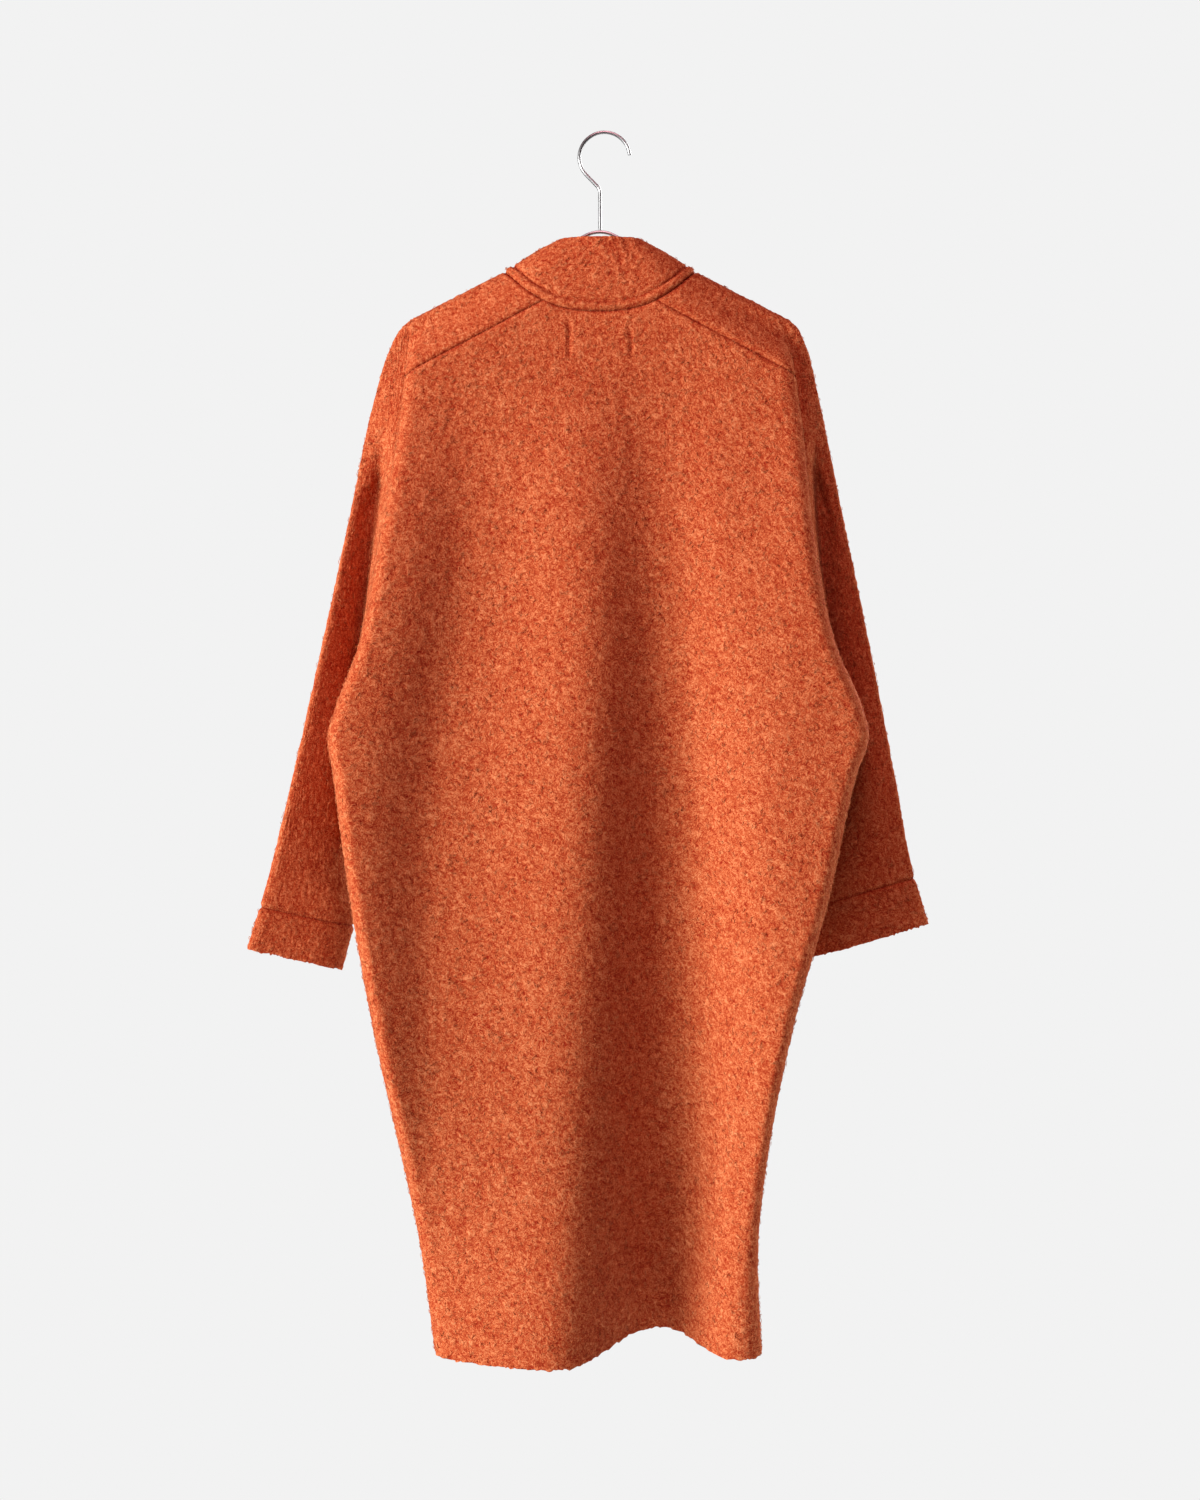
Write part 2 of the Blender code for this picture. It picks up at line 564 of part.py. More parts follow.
def add_wall(name, panel, normals, finish, parent):
    """A closed wall between a panel's outer points and the points one wall thickness inside them."""
    raised = panel.points + normals * panel.welt[None, :, None]
    outer = draw_in(raised, panel.seams, panel.closed)
    inner = draw_in(panel.points - normals * panel.wall, panel.seams, panel.closed)
    rows, columns = outer.shape[:2]
    mesh = bmesh.new()
    skins = []
    for points in (outer, inner):
        skins.append([[mesh.verts.new(point) for point in row] for row in points])
    spans = [(c, (c + 1) % columns) for c in range(columns if panel.closed else columns - 1)]

    def face(corners):
        mesh.faces.new(corners if not panel.turned else corners[::-1])

    for r in range(rows - 1):
        for c, d in spans:
            out, back = skins
            face((out[r][c], out[r + 1][c], out[r + 1][d], out[r][d]))
            face((back[r][c], back[r][d], back[r + 1][d], back[r + 1][c]))

    def rim(first, second):
        """Closes the wall along one step of its edge. Panels that share the edge split the step the same way."""
        (out_a, in_a), (out_b, in_b) = first, second
        if (round(out_a.co.z, 3), abs(round(out_a.co.x, 3))) > (round(out_b.co.z, 3), abs(round(out_b.co.x, 3))):
            face((out_a, in_a, in_b))
            face((out_a, in_b, out_b))
        else:
            face((out_a, in_a, out_b))
            face((in_a, in_b, out_b))

    pairs = [list(zip(out_row, in_row)) for out_row, in_row in zip(*skins)]
    for c, d in spans:
        rim(pairs[0][d], pairs[0][c])
        rim(pairs[-1][c], pairs[-1][d])
    if not panel.closed:
        for r in range(rows - 1):
            rim(pairs[r][0], pairs[r + 1][0])
            rim(pairs[r + 1][-1], pairs[r][-1])
    data = bpy.data.meshes.new(name)
    mesh.to_mesh(data)
    mesh.free()
    data.shade_smooth()
    data.set_sharp_from_angle(angle=SHARP_ANGLE)
    return add_object(name, data, finish, parent)


# The coat's panels

SIDE_STATIONS = [1 + share for share in ARMHOLE_SHARES]
SIDE_STATIONS += [2 + i / SIDE_STEPS for i in range(SIDE_STEPS + 1)]
FRONT_STATIONS = list(YOKE_STATIONS) + list(RIDGE_STATIONS) + SIDE_STATIONS


def coat_panels():
    """Every cloth panel's points, with how its wall is made."""
    wings = [np.linspace(1, neck_share(side), WING_COLUMNS + 1) for side in ("left", "right")]
    neck = np.linspace(-wings[0][-1], wings[1][-1], NECK_COLUMNS + 1)
    across = np.concatenate([-wings[0][:-1], neck, wings[1][-2::-1]])
    fronts = np.linspace(0, 1, WING_COLUMNS + 1)
    strip = strip_points(neck, FRONT_STATIONS, COLLAR_SHARES)
    strip_welt = np.interp(COLLAR_SHARES, WELT_SHARES, (0.0, WELT_HEIGHT, WELT_HEIGHT, 0.0))
    band_rows = len(FRONT_STATIONS) - FRONT_STATIONS.index(1.0)
    no_welt = np.zeros
    panels = {
        "back": Panel(back_points(across, SIDE_STATIONS), False, False, WALL, ("top", "first", "last"),
                      no_welt(len(across))),
        "collar": Panel(strip[band_rows - 1:1 - band_rows], False, False, WALL, ("top", "bottom", "first"), strip_welt),
        "band_left": Panel(strip[:band_rows], False, False, WALL, ("bottom", "first"), strip_welt),
        "band_right": Panel(strip[-band_rows:], False, False, WALL, ("top", "first"), strip_welt),
    }
    for side in SIDE_SIGN:
        turned = side == "left"
        front = front_points(side, fronts, FRONT_STATIONS)
        sleeve = sleeve_points(side, SLEEVE_STATIONS)
        cuff = sleeve_points(side, CUFF_STATIONS)
        plain = no_welt(sleeve.shape[1])
        panels[f"front_{side}"] = Panel(front, turned, False, WALL, ("top", "first", "last"), no_welt(len(fronts)))
        panels[f"sleeve_{side}"] = Panel(sleeve, turned, True, WALL, ("top", "bottom"), plain)
        panels[f"cuff_{side}"] = Panel(cuff, turned, True, CUFF_WALL, ("top",), plain + WELT_HEIGHT)
    return panels


# Hanger


def arc(centre, radius, start, end, steps):
    """Points on an arc in the XZ plane, from one angle to another."""
    angles = np.linspace(start, end, steps + 1)
    return [Vector((centre[0] + radius * math.cos(a), 0, centre[1] + radius * math.sin(a))) for a in angles]


def hook_path():
    """The hook from its tip, round the rail, down its lead and into the stem above the arms."""
    centre = (HOOK_OFFSET, -HOOK_RADIUS + WIRE_RADIUS)
    path = arc(centre, HOOK_RADIUS, HOOK_TIP_ANGLE, HOOK_LEAVE_ANGLE, 28)
    # The lead runs straight down the arc's tangent until a small bend turns it into the stem
    heading = HOOK_LEAVE_ANGLE + math.pi / 2
    bend = -math.pi / 2 - (heading - 2 * math.pi)
    cut = STEM_BEND_RADIUS * math.tan(abs(bend) / 2)
    lead = -path[-1].x / math.cos(heading)
    corner_z = path[-1].z + lead * math.sin(heading)
    bend_centre = (-STEM_BEND_RADIUS, corner_z - cut)
    path += arc(bend_centre, STEM_BEND_RADIUS, heading - 3 * math.pi / 2, 0, 5)
    apex = -(ARM_MEET_DROP + ARM_BEND_RADIUS * (math.hypot(1, ARM_SLOPE) - 1))
    path.append(Vector((0, 0, apex + WIRE_RADIUS + SEAM_GAP)))
    return path


def arms_path():
    """Both arms, with a round bend where they meet under the stem."""
    slope = math.atan(ARM_SLOPE)
    bend_z = -ARM_MEET_DROP - ARM_BEND_RADIUS * math.hypot(1, ARM_SLOPE)
    bend = arc((0, bend_z), ARM_BEND_RADIUS, math.pi / 2 + slope, math.pi / 2 - slope, 8)
    ends = [Vector((sign * ARM_REACH, 0, -arm_drop(ARM_REACH))) for sign in (-1, 1)]
    return [ends[0], *bend, ends[1]]


def add_wire(name, path, finish, parent):
    data = bpy.data.curves.new(name, "CURVE")
    data.dimensions = "3D"
    data.bevel_depth = WIRE_RADIUS
    data.bevel_resolution = 2
    data.use_fill_caps = True
    spline = data.splines.new("POLY")
    spline.points.add(len(path) - 1)
    for point, place in zip(spline.points, path):
        point.co = (*place, 1)
    return add_object(name, data, finish, parent)


def main():
    for old in list(bpy.data.objects):
        bpy.data.objects.remove(old)
    wool = material("rust_wool_knit", WOOL_COLOUR, WOOL_ROUGHNESS, 0.0)
    steel = material("satin_steel_wire", STEEL_COLOUR, STEEL_ROUGHNESS, 1.0)
    # The coat and the hanger hang to one side of the bearing point, under the stem
    stem = bpy.data.objects.new("under_the_stem", None)
    stem.location = (-HOOK_OFFSET, 0, 0)
    bpy.context.scene.collection.objects.link(stem)
    add_wire("hanger_hook", hook_path(), steel, stem)
    add_wire("hanger_arms", arms_path(), steel, stem)
    panels = coat_panels()
    normals = shared_normals(panels)
    for name, panel in panels.items():
        add_wall(name, panel, normals[name], wool, stem)


main()
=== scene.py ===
"""Dresses the hanging knit coat: napped wool shells, their pile, the sewing and the wire hanger."""

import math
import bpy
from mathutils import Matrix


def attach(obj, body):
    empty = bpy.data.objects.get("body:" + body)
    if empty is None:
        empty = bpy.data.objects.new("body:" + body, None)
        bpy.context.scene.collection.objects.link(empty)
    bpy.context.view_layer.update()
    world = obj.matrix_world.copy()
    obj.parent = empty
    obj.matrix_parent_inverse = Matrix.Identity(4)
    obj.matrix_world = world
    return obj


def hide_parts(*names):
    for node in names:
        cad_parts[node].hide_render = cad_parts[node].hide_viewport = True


bl_info = {
    "name": "Knit coat",
    "version": (1, 0, 0),
    "blender": (4, 5, 0),
    "location": "3D View > Sidebar > Knit coat",
    "description": "Builds a napped knit coat on a wire hanger around its solid frame",
    "category": "Object",
}

from collections import namedtuple

import bpy
import numpy as np
from bpy.props import FloatProperty, FloatVectorProperty, IntProperty, PointerProperty
from mathutils import Vector

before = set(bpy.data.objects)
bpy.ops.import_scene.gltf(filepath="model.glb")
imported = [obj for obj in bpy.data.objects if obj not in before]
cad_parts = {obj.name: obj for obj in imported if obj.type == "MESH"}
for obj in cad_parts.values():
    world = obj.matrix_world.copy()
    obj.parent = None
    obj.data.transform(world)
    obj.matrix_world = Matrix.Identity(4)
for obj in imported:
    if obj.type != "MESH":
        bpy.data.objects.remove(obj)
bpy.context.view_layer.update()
BODY_NAME = "root"

# Hanger: the coat hangs to one side of the hook's bearing point
HOOK_OFFSET = 0.0045
WIRE_RADIUS = 0.00175
WIRE_SEAT_GAP = 0.0004
ARM_SLOPE = 0.514
ARM_MEET_DROP = 0.0943

# Shoulder: the cloth rolls over the wire arms
CAD_WALL = 0.003
RIDGE_RADIUS = 0.009
RIDGE_NECK_X = 0.0955
RIDGE_END_X = 0.190
RIDGE_TURN = 0.45

# Neck seam and collar band
NECK_POWER = 2.6
NECK_DROP = 0.1813
YOKE_NECK_X = 0.056
COLLAR_EDGE_X = 0.041
COLLAR_EDGE_DROP = 0.106
COLLAR_EDGE_DEPTH = 0.021
COLLAR_BOW = 0.004
NECK_FRONT_RADIUS = 0.016
COLLAR_FRONT_RADIUS = 0.8 * NECK_FRONT_RADIUS
BAND_SEAM_X = 0.066
BAND_SEAM_HEM_X = 0.062
BAND_EDGE_X = 0.006
NECKLINE_STATIONS = 0.33
BAND_TURN = 0.8
NECK_FALL = 0.3

# Yoke seam, underarm and hem
YOKE_END_DROP = 0.245
YOKE_PASSES = 6
UNDERARM_DROP = 0.700
HEM_DROP = 1.209
HEM_DIP = 0.17
FRONT_HEM_DROP = 1.200

# The back's section: its turned corner and the cloth's walk round it, then how the corner turns beside the
# shoulder and below it, where 2 is an ellipse and more keeps it full for longer
BACK_CORNER = 0.016
CORNER_WALK = 0.8
EDGE_ROLL = (9.0, 6.0)
HEAD_DROP = 0.27
HEAD_FADE = 0.10
HEAD_EDGE_POWER = 2.0
# How far the sides fall back from the middle above and below one drop, as a share of the bulge
BACK_CROWN = (-0.15, 0.46)
CROWN_DROP = 0.90
CROWN_FADE = 0.28

# The fronts: how far the armhole's edge and the middle swell out, and the station where they start to turn
FRONT_EDGE_SWELL = 0.026
EDGE_SWELL_POWER = 0.6
UNDERARM_POWER = 6
FRONT_SWELL = 0.006
FRONT_ROUND_START = 1.5
FRONT_ROUND_FADE = 0.5

# Stations down the body: the yoke seam on the back, the shoulder's ridge, the upper end of the armhole and of
# the back, the underarm, and the hem
YOKE_STATION = -1.0
RIDGE_STATION = 0.0
TOP_STATION = 1.0
UNDERARM_STATION = 2.0
HEM_STATION = 3.0

# The body by level: half widths, how far the side edge stands towards -Y and the back bulges beyond it, how
# far the middle of the fronts stands towards +Y, and how round the fronts turn at the side seam
Body = namedtuple("Body", "drop left right edge bulge front roundness")
BODY = (
    Body(0.170, 0.1945, 0.1945, 0.010, 0.018, 0.016, 0.3),
    Body(0.245, 0.1945, 0.1945, 0.010, 0.021, 0.020, 0.3),
    Body(0.295, 0.200, 0.201, 0.011, 0.025, 0.024, 0.3),
    Body(0.410, 0.218, 0.212, 0.013, 0.046, 0.031, 0.3),
    Body(0.520, 0.239, 0.234, 0.016, 0.058, 0.035, 0.3),
    Body(0.575, 0.259, 0.257, 0.018, 0.061, 0.036, 0.3),
    Body(0.600, 0.266, 0.263, 0.018, 0.063, 0.037, 0.3),
    Body(0.640, 0.261, 0.251, 0.017, 0.066, 0.038, 0.3),
    Body(0.765, 0.244, 0.223, 0.012, 0.071, 0.042, 0.4),
    Body(0.885, 0.223, 0.190, 0.008, 0.073, 0.046, 0.6),
    Body(1.000, 0.199, 0.168, 0.004, 0.072, 0.050, 0.8),
    Body(1.110, 0.178, 0.157, 0.000, 0.074, 0.055, 1.0),
    Body(1.215, 0.164, 0.161, -0.004, 0.080, 0.060, 1.0),
)

# The back's long folds by level: the trough's middle, its reach to either side, and its depth
Fold = namedtuple("Fold", "drop middle left right depth")
CENTRE_FOLD = (
    Fold(0.200, 0.058, 0.048, 0.050, 0.000),
    Fold(0.300, 0.062, 0.050, 0.055, 0.010),
    Fold(0.370, 0.064, 0.052, 0.056, 0.019),
    Fold(0.470, 0.067, 0.054, 0.058, 0.031),
    Fold(0.570, 0.070, 0.057, 0.060, 0.042),
    Fold(0.700, 0.074, 0.062, 0.060, 0.055),
    Fold(0.850, 0.076, 0.066, 0.060, 0.066),
    Fold(1.000, 0.076, 0.069, 0.056, 0.079),
    Fold(1.100, 0.070, 0.067, 0.050, 0.090),
    Fold(1.215, 0.058, 0.061, 0.048, 0.111),
)
LEFT_FOLD = (
    Fold(0.240, -0.112, 0.055, 0.060, 0.000),
    Fold(0.370, -0.118, 0.050, 0.070, 0.014),
    Fold(0.470, -0.124, 0.052, 0.080, 0.022),
    Fold(0.570, -0.138, 0.056, 0.095, 0.026),
    Fold(0.670, -0.150, 0.056, 0.105, 0.026),
    Fold(0.770, -0.156, 0.050, 0.110, 0.023),
    Fold(0.870, -0.156, 0.045, 0.110, 0.018),
    Fold(0.970, -0.154, 0.042, 0.105, 0.014),
    Fold(1.100, -0.150, 0.040, 0.095, 0.009),
    Fold(1.215, -0.146, 0.036, 0.080, 0.003),
)
RIGHT_FOLD = (
    Fold(0.260, 0.145, 0.028, 0.030, 0.000),
    Fold(0.340, 0.146, 0.028, 0.030, 0.004),
    Fold(0.500, 0.150, 0.030, 0.032, 0.004),
    Fold(0.700, 0.155, 0.030, 0.032, 0.000),
)
BACK_FOLDS = (CENTRE_FOLD, LEFT_FOLD, RIGHT_FOLD)
FOLD_POWER = 2.4

# Each sleeve from its armhole (0) to its cuff seam (1) and the cuff's end: the outer and the inner edge of
# the flattened tube, how far towards +Y its axis lies at its middle and at those edges, and half its depth
Sleeve = namedtuple("Sleeve", "along outer_x outer_drop inner_x inner_drop depth inner_y outer_y half")
CUFF_END = 1.07
SLEEVES = {
    "left": (
        Sleeve(0.00, 0.190, 0.186, 0.2525, 0.700, 0.012, -0.010, 0.000, 0.015),
        Sleeve(0.05, 0.200, 0.1955, 0.2525, 0.706, 0.030, 0.022, 0.004, 0.015),
        Sleeve(0.10, 0.210, 0.214, 0.2525, 0.712, 0.048, 0.040, 0.008, 0.017),
        Sleeve(0.20, 0.2255, 0.262, 0.252, 0.724, 0.056, 0.052, 0.012, 0.020),
        Sleeve(0.40, 0.2525, 0.385, 0.251, 0.743, 0.054, 0.056, 0.014, 0.026),
        Sleeve(0.60, 0.280, 0.515, 0.2505, 0.759, 0.048, 0.058, 0.010, 0.026),
        Sleeve(0.80, 0.312, 0.660, 0.2505, 0.776, 0.043, 0.056, 0.005, 0.024),
        Sleeve(1.00, 0.3407, 0.7727, 0.2507, 0.795, 0.038, 0.051, 0.004, 0.0235),
        Sleeve(CUFF_END, 0.354, 0.815, 0.262, 0.839, 0.036, 0.047, 0.004, 0.0235),
    ),
    "right": (
        Sleeve(0.00, 0.190, 0.186, 0.2375, 0.700, 0.012, -0.010, 0.000, 0.015),
        Sleeve(0.05, 0.199, 0.1955, 0.2375, 0.706, 0.030, 0.022, 0.004, 0.015),
        Sleeve(0.10, 0.207, 0.214, 0.237, 0.712, 0.048, 0.040, 0.008, 0.017),
        Sleeve(0.20, 0.219, 0.262, 0.236, 0.722, 0.056, 0.052, 0.012, 0.020),
        Sleeve(0.40, 0.245, 0.385, 0.232, 0.738, 0.054, 0.056, 0.014, 0.026),
        Sleeve(0.60, 0.2715, 0.515, 0.224, 0.752, 0.048, 0.058, 0.010, 0.026),
        Sleeve(0.80, 0.297, 0.650, 0.213, 0.766, 0.043, 0.056, 0.005, 0.024),
        Sleeve(1.00, 0.3155, 0.744, 0.200, 0.780, 0.038, 0.051, 0.003, 0.021),
        Sleeve(CUFF_END, 0.329, 0.790, 0.2155, 0.827, 0.036, 0.047, 0.002, 0.021),
    ),
}
SLEEVE_FOLD_REACH = 0.10
SLEEVE_HEAD_REACH = 0.40
SLEEVE_HEAD_HEIGHT = 0.70
SLEEVE_HEAD_FADE = 0.20
SLEEVE_EASE_REACH = 0.35
SLEEVE_LEAN = 0.40
SLEEVE_ROUNDNESS = (3.4, 2.3)
SLEEVE_EDGE_POWER = 3
SIDE_SIGN = {"left": -1, "right": 1}

# Every inner point stands for this many steps of the outer grid each way, and edges that turn by more than
# the sharp angle stay crisp
INSIDE_STEP = 6
SHARP_ANGLE = math.radians(75)
# The shortest length that still has a direction
SHORTEST = 1e-12

# Rough widths and lengths along the cloth, which set the number of points on the back and the fronts, and the
# station from which the fronts' points lie closer over the ridge
BACK_WIDTH = 0.56
BACK_LENGTH = 1.03
FRONT_WIDTH = 0.19
YOKE_LENGTH = 0.07
FRONT_LENGTH = 1.05
RIDGE_START = -0.3

# Numbers of steps round and along the sleeves, and across and along the collar and the bands
ARMHOLE_STEPS = 114
SHOULDER_STEPS = (14, 4, 6)
SLEEVE_RINGS = (36, 138)
CUFF_RINGS = 24
COLLAR_STEPS = 42
NECK_STEPS = 60
NECK_SIDE_STEPS = (24, 12)
BAND_STEPS = 18
BAND_ROWS = (126, 126)

# Large odd numbers and shifts that scramble a cell's place into a number without a pattern
SCATTER_AXES = (73856093, 19349663, 83492791)
SCATTER_SEED = 40503
SCATTER_ROUNDS = ((13, 1274126177), (15, 668265263))
SCATTER_BITS = 0x7FFFFFFF
SCATTER_SHIFT = 16
SCATTER_TOP = 0xFFFF

# Pile: how much closer its clumps lie down the coat than across it, then, in widths of a clump, the size and
# the reach of the bends that draw clumps out of shape, and the sizes of small clumps and of taller patches
CLUMP_SQUEEZE = 1.45
BEND_SIZE = 1.1
BEND_REACH = 0.55
SMALL_BEND_REACH = 0.3
SMALL_CLUMP = 0.55
PATCH_SIZE = 4.5
# How steeply large and small clumps rise, their shares of the height, and the height of low and tall patches
LARGE_POWER = 0.6
SMALL_POWER = 0.7
LARGE_SHARE = 0.62
SMALL_SHARE = 0.38
PATCH_HEIGHTS = (0.9, 1.05)
BEND_SEED = 11
LARGE_SEED = 21
SMALL_SEED = 31
PATCH_SEED = 41
# The pile's mean height, the share of it that a seam leaves standing, the share that a sewn line presses
# down, and the height that gives the plain inside its colour
MEAN_NAP = 0.45
SEAM_NAP = 0.35
PRESSED_NAP = 0.8
INSIDE_NAP = 0.4
# How much of an uneven lower edge each of the last rows takes, and how uneven it is
RAGGED_ROWS = ((-1, 1.0), (-2, 0.6), (-3, 0.25))
RAGGED_DEPTH = 0.005

# Curls: the least and the most of each size, as a share of the pile's own, and how closely they lie in the
# gaps between clumps and on the fronts and bands, as a share of how closely they lie elsewhere
CURL_LENGTHS = (0.6, 1.4)
CURL_BOWS = (-0.45, 0.45)
CURL_TWISTS = (-0.25, 0.25)
CURL_RISES = (0.3, 1.3)
CURL_WIDTHS = (0.7, 1.3)
GAP_CURLS = 0.3
FRONT_CURLS = 0.5
# A curl runs from its first point through two rings of three corners to its last point
CURL_POINTS = (0.0, 0.33, 0.67, 1.0)
CURL_CORNERS = (math.pi / 2, math.pi * 7 / 6, math.pi * 11 / 6)
CURL_FACES = (
    (0, 2, 1), (0, 3, 2), (0, 1, 3),
    (1, 2, 5, 4), (2, 3, 6, 5), (3, 1, 4, 6),
    (4, 5, 7), (5, 6, 7), (6, 4, 7),
)
# The pile heights that give a curl's ends and rings their colour, with painted shade on the ends and the two
# lower corners and a painted highlight on the top corner, and the seed of each panel's curls
CURL_SHADED_END_NAP = 0.3
CURL_RING_LIGHT_AND_SHADE_NAP = (0.6, 0.42, 0.42)
CURL_SEEDS = {
    "back": 3,
    "front_left": 5,
    "front_right": 6,
    "sleeve_left": 7,
    "sleeve_right": 8,
    "cuff_left": 9,
    "cuff_right": 10,
    "collar": 11,
    "band_left": 13,
    "band_right": 14,
}

# Sewing: the tacking lines' drops, width and depth, how softly sewn lines end, and the welt's stitches
TACK_TOPS = {"left": 0.191, "right": 0.199}
TACK_BOTTOM = 0.229
TACK_WIDTH = 0.0016
TACK_DEPTH = 0.0022
SEWN_FADE = 0.003
WELT_SLOPE = 0.002
STITCH_OFFSET = 0.0008
STITCH_WIDTH = 0.0014
STITCH_DEPTH = 0.0018

# Grain of each finish
Grain = namedtuple("Grain", "scale detail distortion")
FIBRE_GRAIN = Grain(420.0, 3.0, 1.6)
STRAND_GRAIN = Grain(190.0, 2.0, 2.4)
PATCH_GRAIN = Grain(55.0, 2.0, 0.0)
STEEL_GRAIN = Grain(700.0, 3.0, 0.0)
FLOOR_GRAIN = Grain(6.0, 2.0, 0.0)
# How strongly each pattern sways the wool's shade, and the marks the steel's roughness
Weight = namedtuple("Weight", "gain shift")
NAP_WEIGHT = Weight(0.75, 0.19)
FIBRE_WEIGHT = Weight(0.7, -0.35)
STROKE_WEIGHT = Weight(0.5, -0.27)
PATCH_WEIGHT = Weight(0.16, -0.08)
STEEL_ROUGHNESS = Weight(0.2, 0.25)
STRAND_SHARPNESS = 9.0
# Where the colours of the gaps (painted shade), the wool and the tips (painted highlight) lie along the
# shade, and two colours along a grain
WOOL_STEPS = (0.05, 0.45, 0.95)
GRAIN_STEPS = (0.3, 0.7)
STEEL_DULLING = 0.8
FLOOR_COLOURS = ((0.80, 0.80, 0.80), (0.84, 0.84, 0.84))

# Stage: half the floor's width, and where each light stands and how wide it is
FLOOR_HALF = 1.7
Lamp = namedtuple("Lamp", "place size")
KEY_LAMP = Lamp((-3.8, -2.15, -0.6), 2.6)
OVERHEAD_LAMP = Lamp((0.1, -1.8, 1.6), 1.5)
BOUNCE_LAMP = Lamp((2.2, 0.45, -0.6), 1.2)
FILL_LAMP = Lamp((1.2, 2.2, 0.4), 1.6)


# Curves


def through(rows, column, at):
    """A smooth curve through one column of a table, read at the places given along its first column."""
    places = np.array([row[0] for row in rows])
    values = np.array([getattr(row, column) for row in rows])
    slopes = np.gradient(values, places)
    at = np.clip(at, places[0], places[-1])
    low = np.clip(np.searchsorted(places, at) - 1, 0, len(places) - 2)
    span = places[low + 1] - places[low]
    share = (at - places[low]) / span
    rise = share * share * (3 - 2 * share)
    start_lean = share * (1 - share) ** 2 * span * slopes[low]
    end_lean = share * share * (share - 1) * span * slopes[low + 1]
    return values[low] * (1 - rise) + values[low + 1] * rise + start_lean + end_lean


def ease(share):
    """A soft start and a soft stop from 0 to 1."""
    share = np.clip(share, 0.0, 1.0)
    return share * share * (3 - 2 * share)


def blend(first, second, share):
    """What lies at a share of the way from the first to the second."""
    return first + (second - first) * share


def hung(x, y, drop):
    """Points from their x, their y and their drop below the hook."""
    return np.stack([x, y, -drop], axis=-1)


def unit(vectors):
    """Vectors of length 1 along the given ones."""
    return vectors / np.maximum(np.linalg.norm(vectors, axis=-1, keepdims=True), SHORTEST)


def step_lengths(points, axis):
    """The lengths of a grid's steps along one of its ways."""
    return np.linalg.norm(np.diff(points, axis=axis), axis=-1)


def ridge_drop(x):
    """The top of the cloth on the hanger's arm, square to the arm's slope."""
    off_wire = WIRE_RADIUS + WIRE_SEAT_GAP + CAD_WALL
    return ARM_MEET_DROP + ARM_SLOPE * abs(x) - off_wire * math.hypot(1, ARM_SLOPE)


def neck_drop(x):
    """The neck seam across the back, from the ridge to its lowest point in the middle."""
    ridge = ridge_drop(RIDGE_NECK_X)
    return ridge + (NECK_DROP - ridge) * (1 - (np.abs(x) / RIDGE_NECK_X) ** NECK_POWER)


# Back panel


def fold_depth(fold, x, drop):
    """How deep one trough is at a place on the back."""
    off = x - through(fold, "middle", drop)
    reach = np.where(off < 0, through(fold, "left", drop), through(fold, "right", drop))
    return through(fold, "depth", drop) * np.exp(-np.abs(off / reach) ** FOLD_POWER)


def section_walk(side_half, bulge):
    """How far the flat middle and the turned corner of half a section reach along the cloth."""
    return side_half - BACK_CORNER, CORNER_WALK * (BACK_CORNER + bulge)


def back_section(across, drop):
    """x and y on the back's section at a level, for a share from -1 (left edge) to 1 (right edge)."""
    half = np.where(across < 0, through(BODY, "left", drop), through(BODY, "right", drop))
    bulge = through(BODY, "bulge", drop)
    flat, turn = section_walk(half, bulge)
    walked = np.abs(across) * (flat + turn)
    angle = np.clip((walked - flat) / turn, 0, 1) * math.pi / 2
    below_head = ease((drop - HEAD_DROP) / HEAD_FADE)
    rolled = np.sqrt(np.clip(1 - np.cos(angle) ** blend(*EDGE_ROLL, below_head), 0, 1))
    reach = np.where(walked < flat, walked, flat + BACK_CORNER * rolled)
    # The edge lies flatter beside the shoulder, where it runs on into the sleeve's head
    arch = np.cos(angle) ** blend(HEAD_EDGE_POWER, 1.0, below_head)
    x = np.sign(across) * reach
    # The sides stand out further than the middle, except near the hem
    lower = blend(*BACK_CROWN, ease((drop - CROWN_DROP) / CROWN_FADE))
    crown = 1 - lower * (reach / half) ** 2
    folds = sum(fold_depth(fold, x, drop) for fold in BACK_FOLDS)
    stand = through(BODY, "edge", drop) + bulge * arch * crown - folds * arch
    return x, -stand


def neck_share(side):
    """The share across the back where the yoke seam meets the neck seam."""
    drop = neck_drop(YOKE_NECK_X)
    return YOKE_NECK_X / sum(section_walk(through(BODY, side, drop), through(BODY, "bulge", drop)))


def back_top_drop(across):
    """The back's upper edge: the neck seam in the middle, a straight yoke seam to either side of it."""
    top = np.full_like(across, YOKE_END_DROP)
    for _ in range(YOKE_PASSES):
        x = np.abs(back_section(across, top)[0])
        along = (x - YOKE_NECK_X) / (through(BODY, "left", YOKE_END_DROP) - YOKE_NECK_X)
        yoke = blend(neck_drop(YOKE_NECK_X), YOKE_END_DROP, along)
        top = np.where(x < YOKE_NECK_X, neck_drop(x), yoke)
    return top


def side_drop(station):
    """The drop of the back's side edge and of the side seam at a station from 1 to 3."""
    hem = HEM_DROP + HEM_DIP * through(BODY, "edge", HEM_DROP)
    armhole = blend(YOKE_END_DROP, UNDERARM_DROP, np.clip(station - 1, 0, 1))
    return np.where(station < 2, armhole, blend(UNDERARM_DROP, hem, np.clip(station - 2, 0, 1)))


def back_points(across, stations):
    """The back panel's grid: a row for each station, a column for each share across."""
    across = np.asarray(across, dtype=float)[None, :]
    stations = np.asarray(stations, dtype=float)[:, None]
    top = back_top_drop(across)
    _, hem_y = back_section(across, HEM_DROP)
    hem = HEM_DROP - HEM_DIP * hem_y
    edge_hem = float(side_drop(np.array(HEM_STATION)))
    share = (side_drop(stations) - YOKE_END_DROP) / (edge_hem - YOKE_END_DROP)
    drop = blend(top, hem, share)
    x, y = back_section(across + 0 * drop, drop)
    return hung(x, y, drop)


# Front panels, which reach over the shoulder to the yoke seam


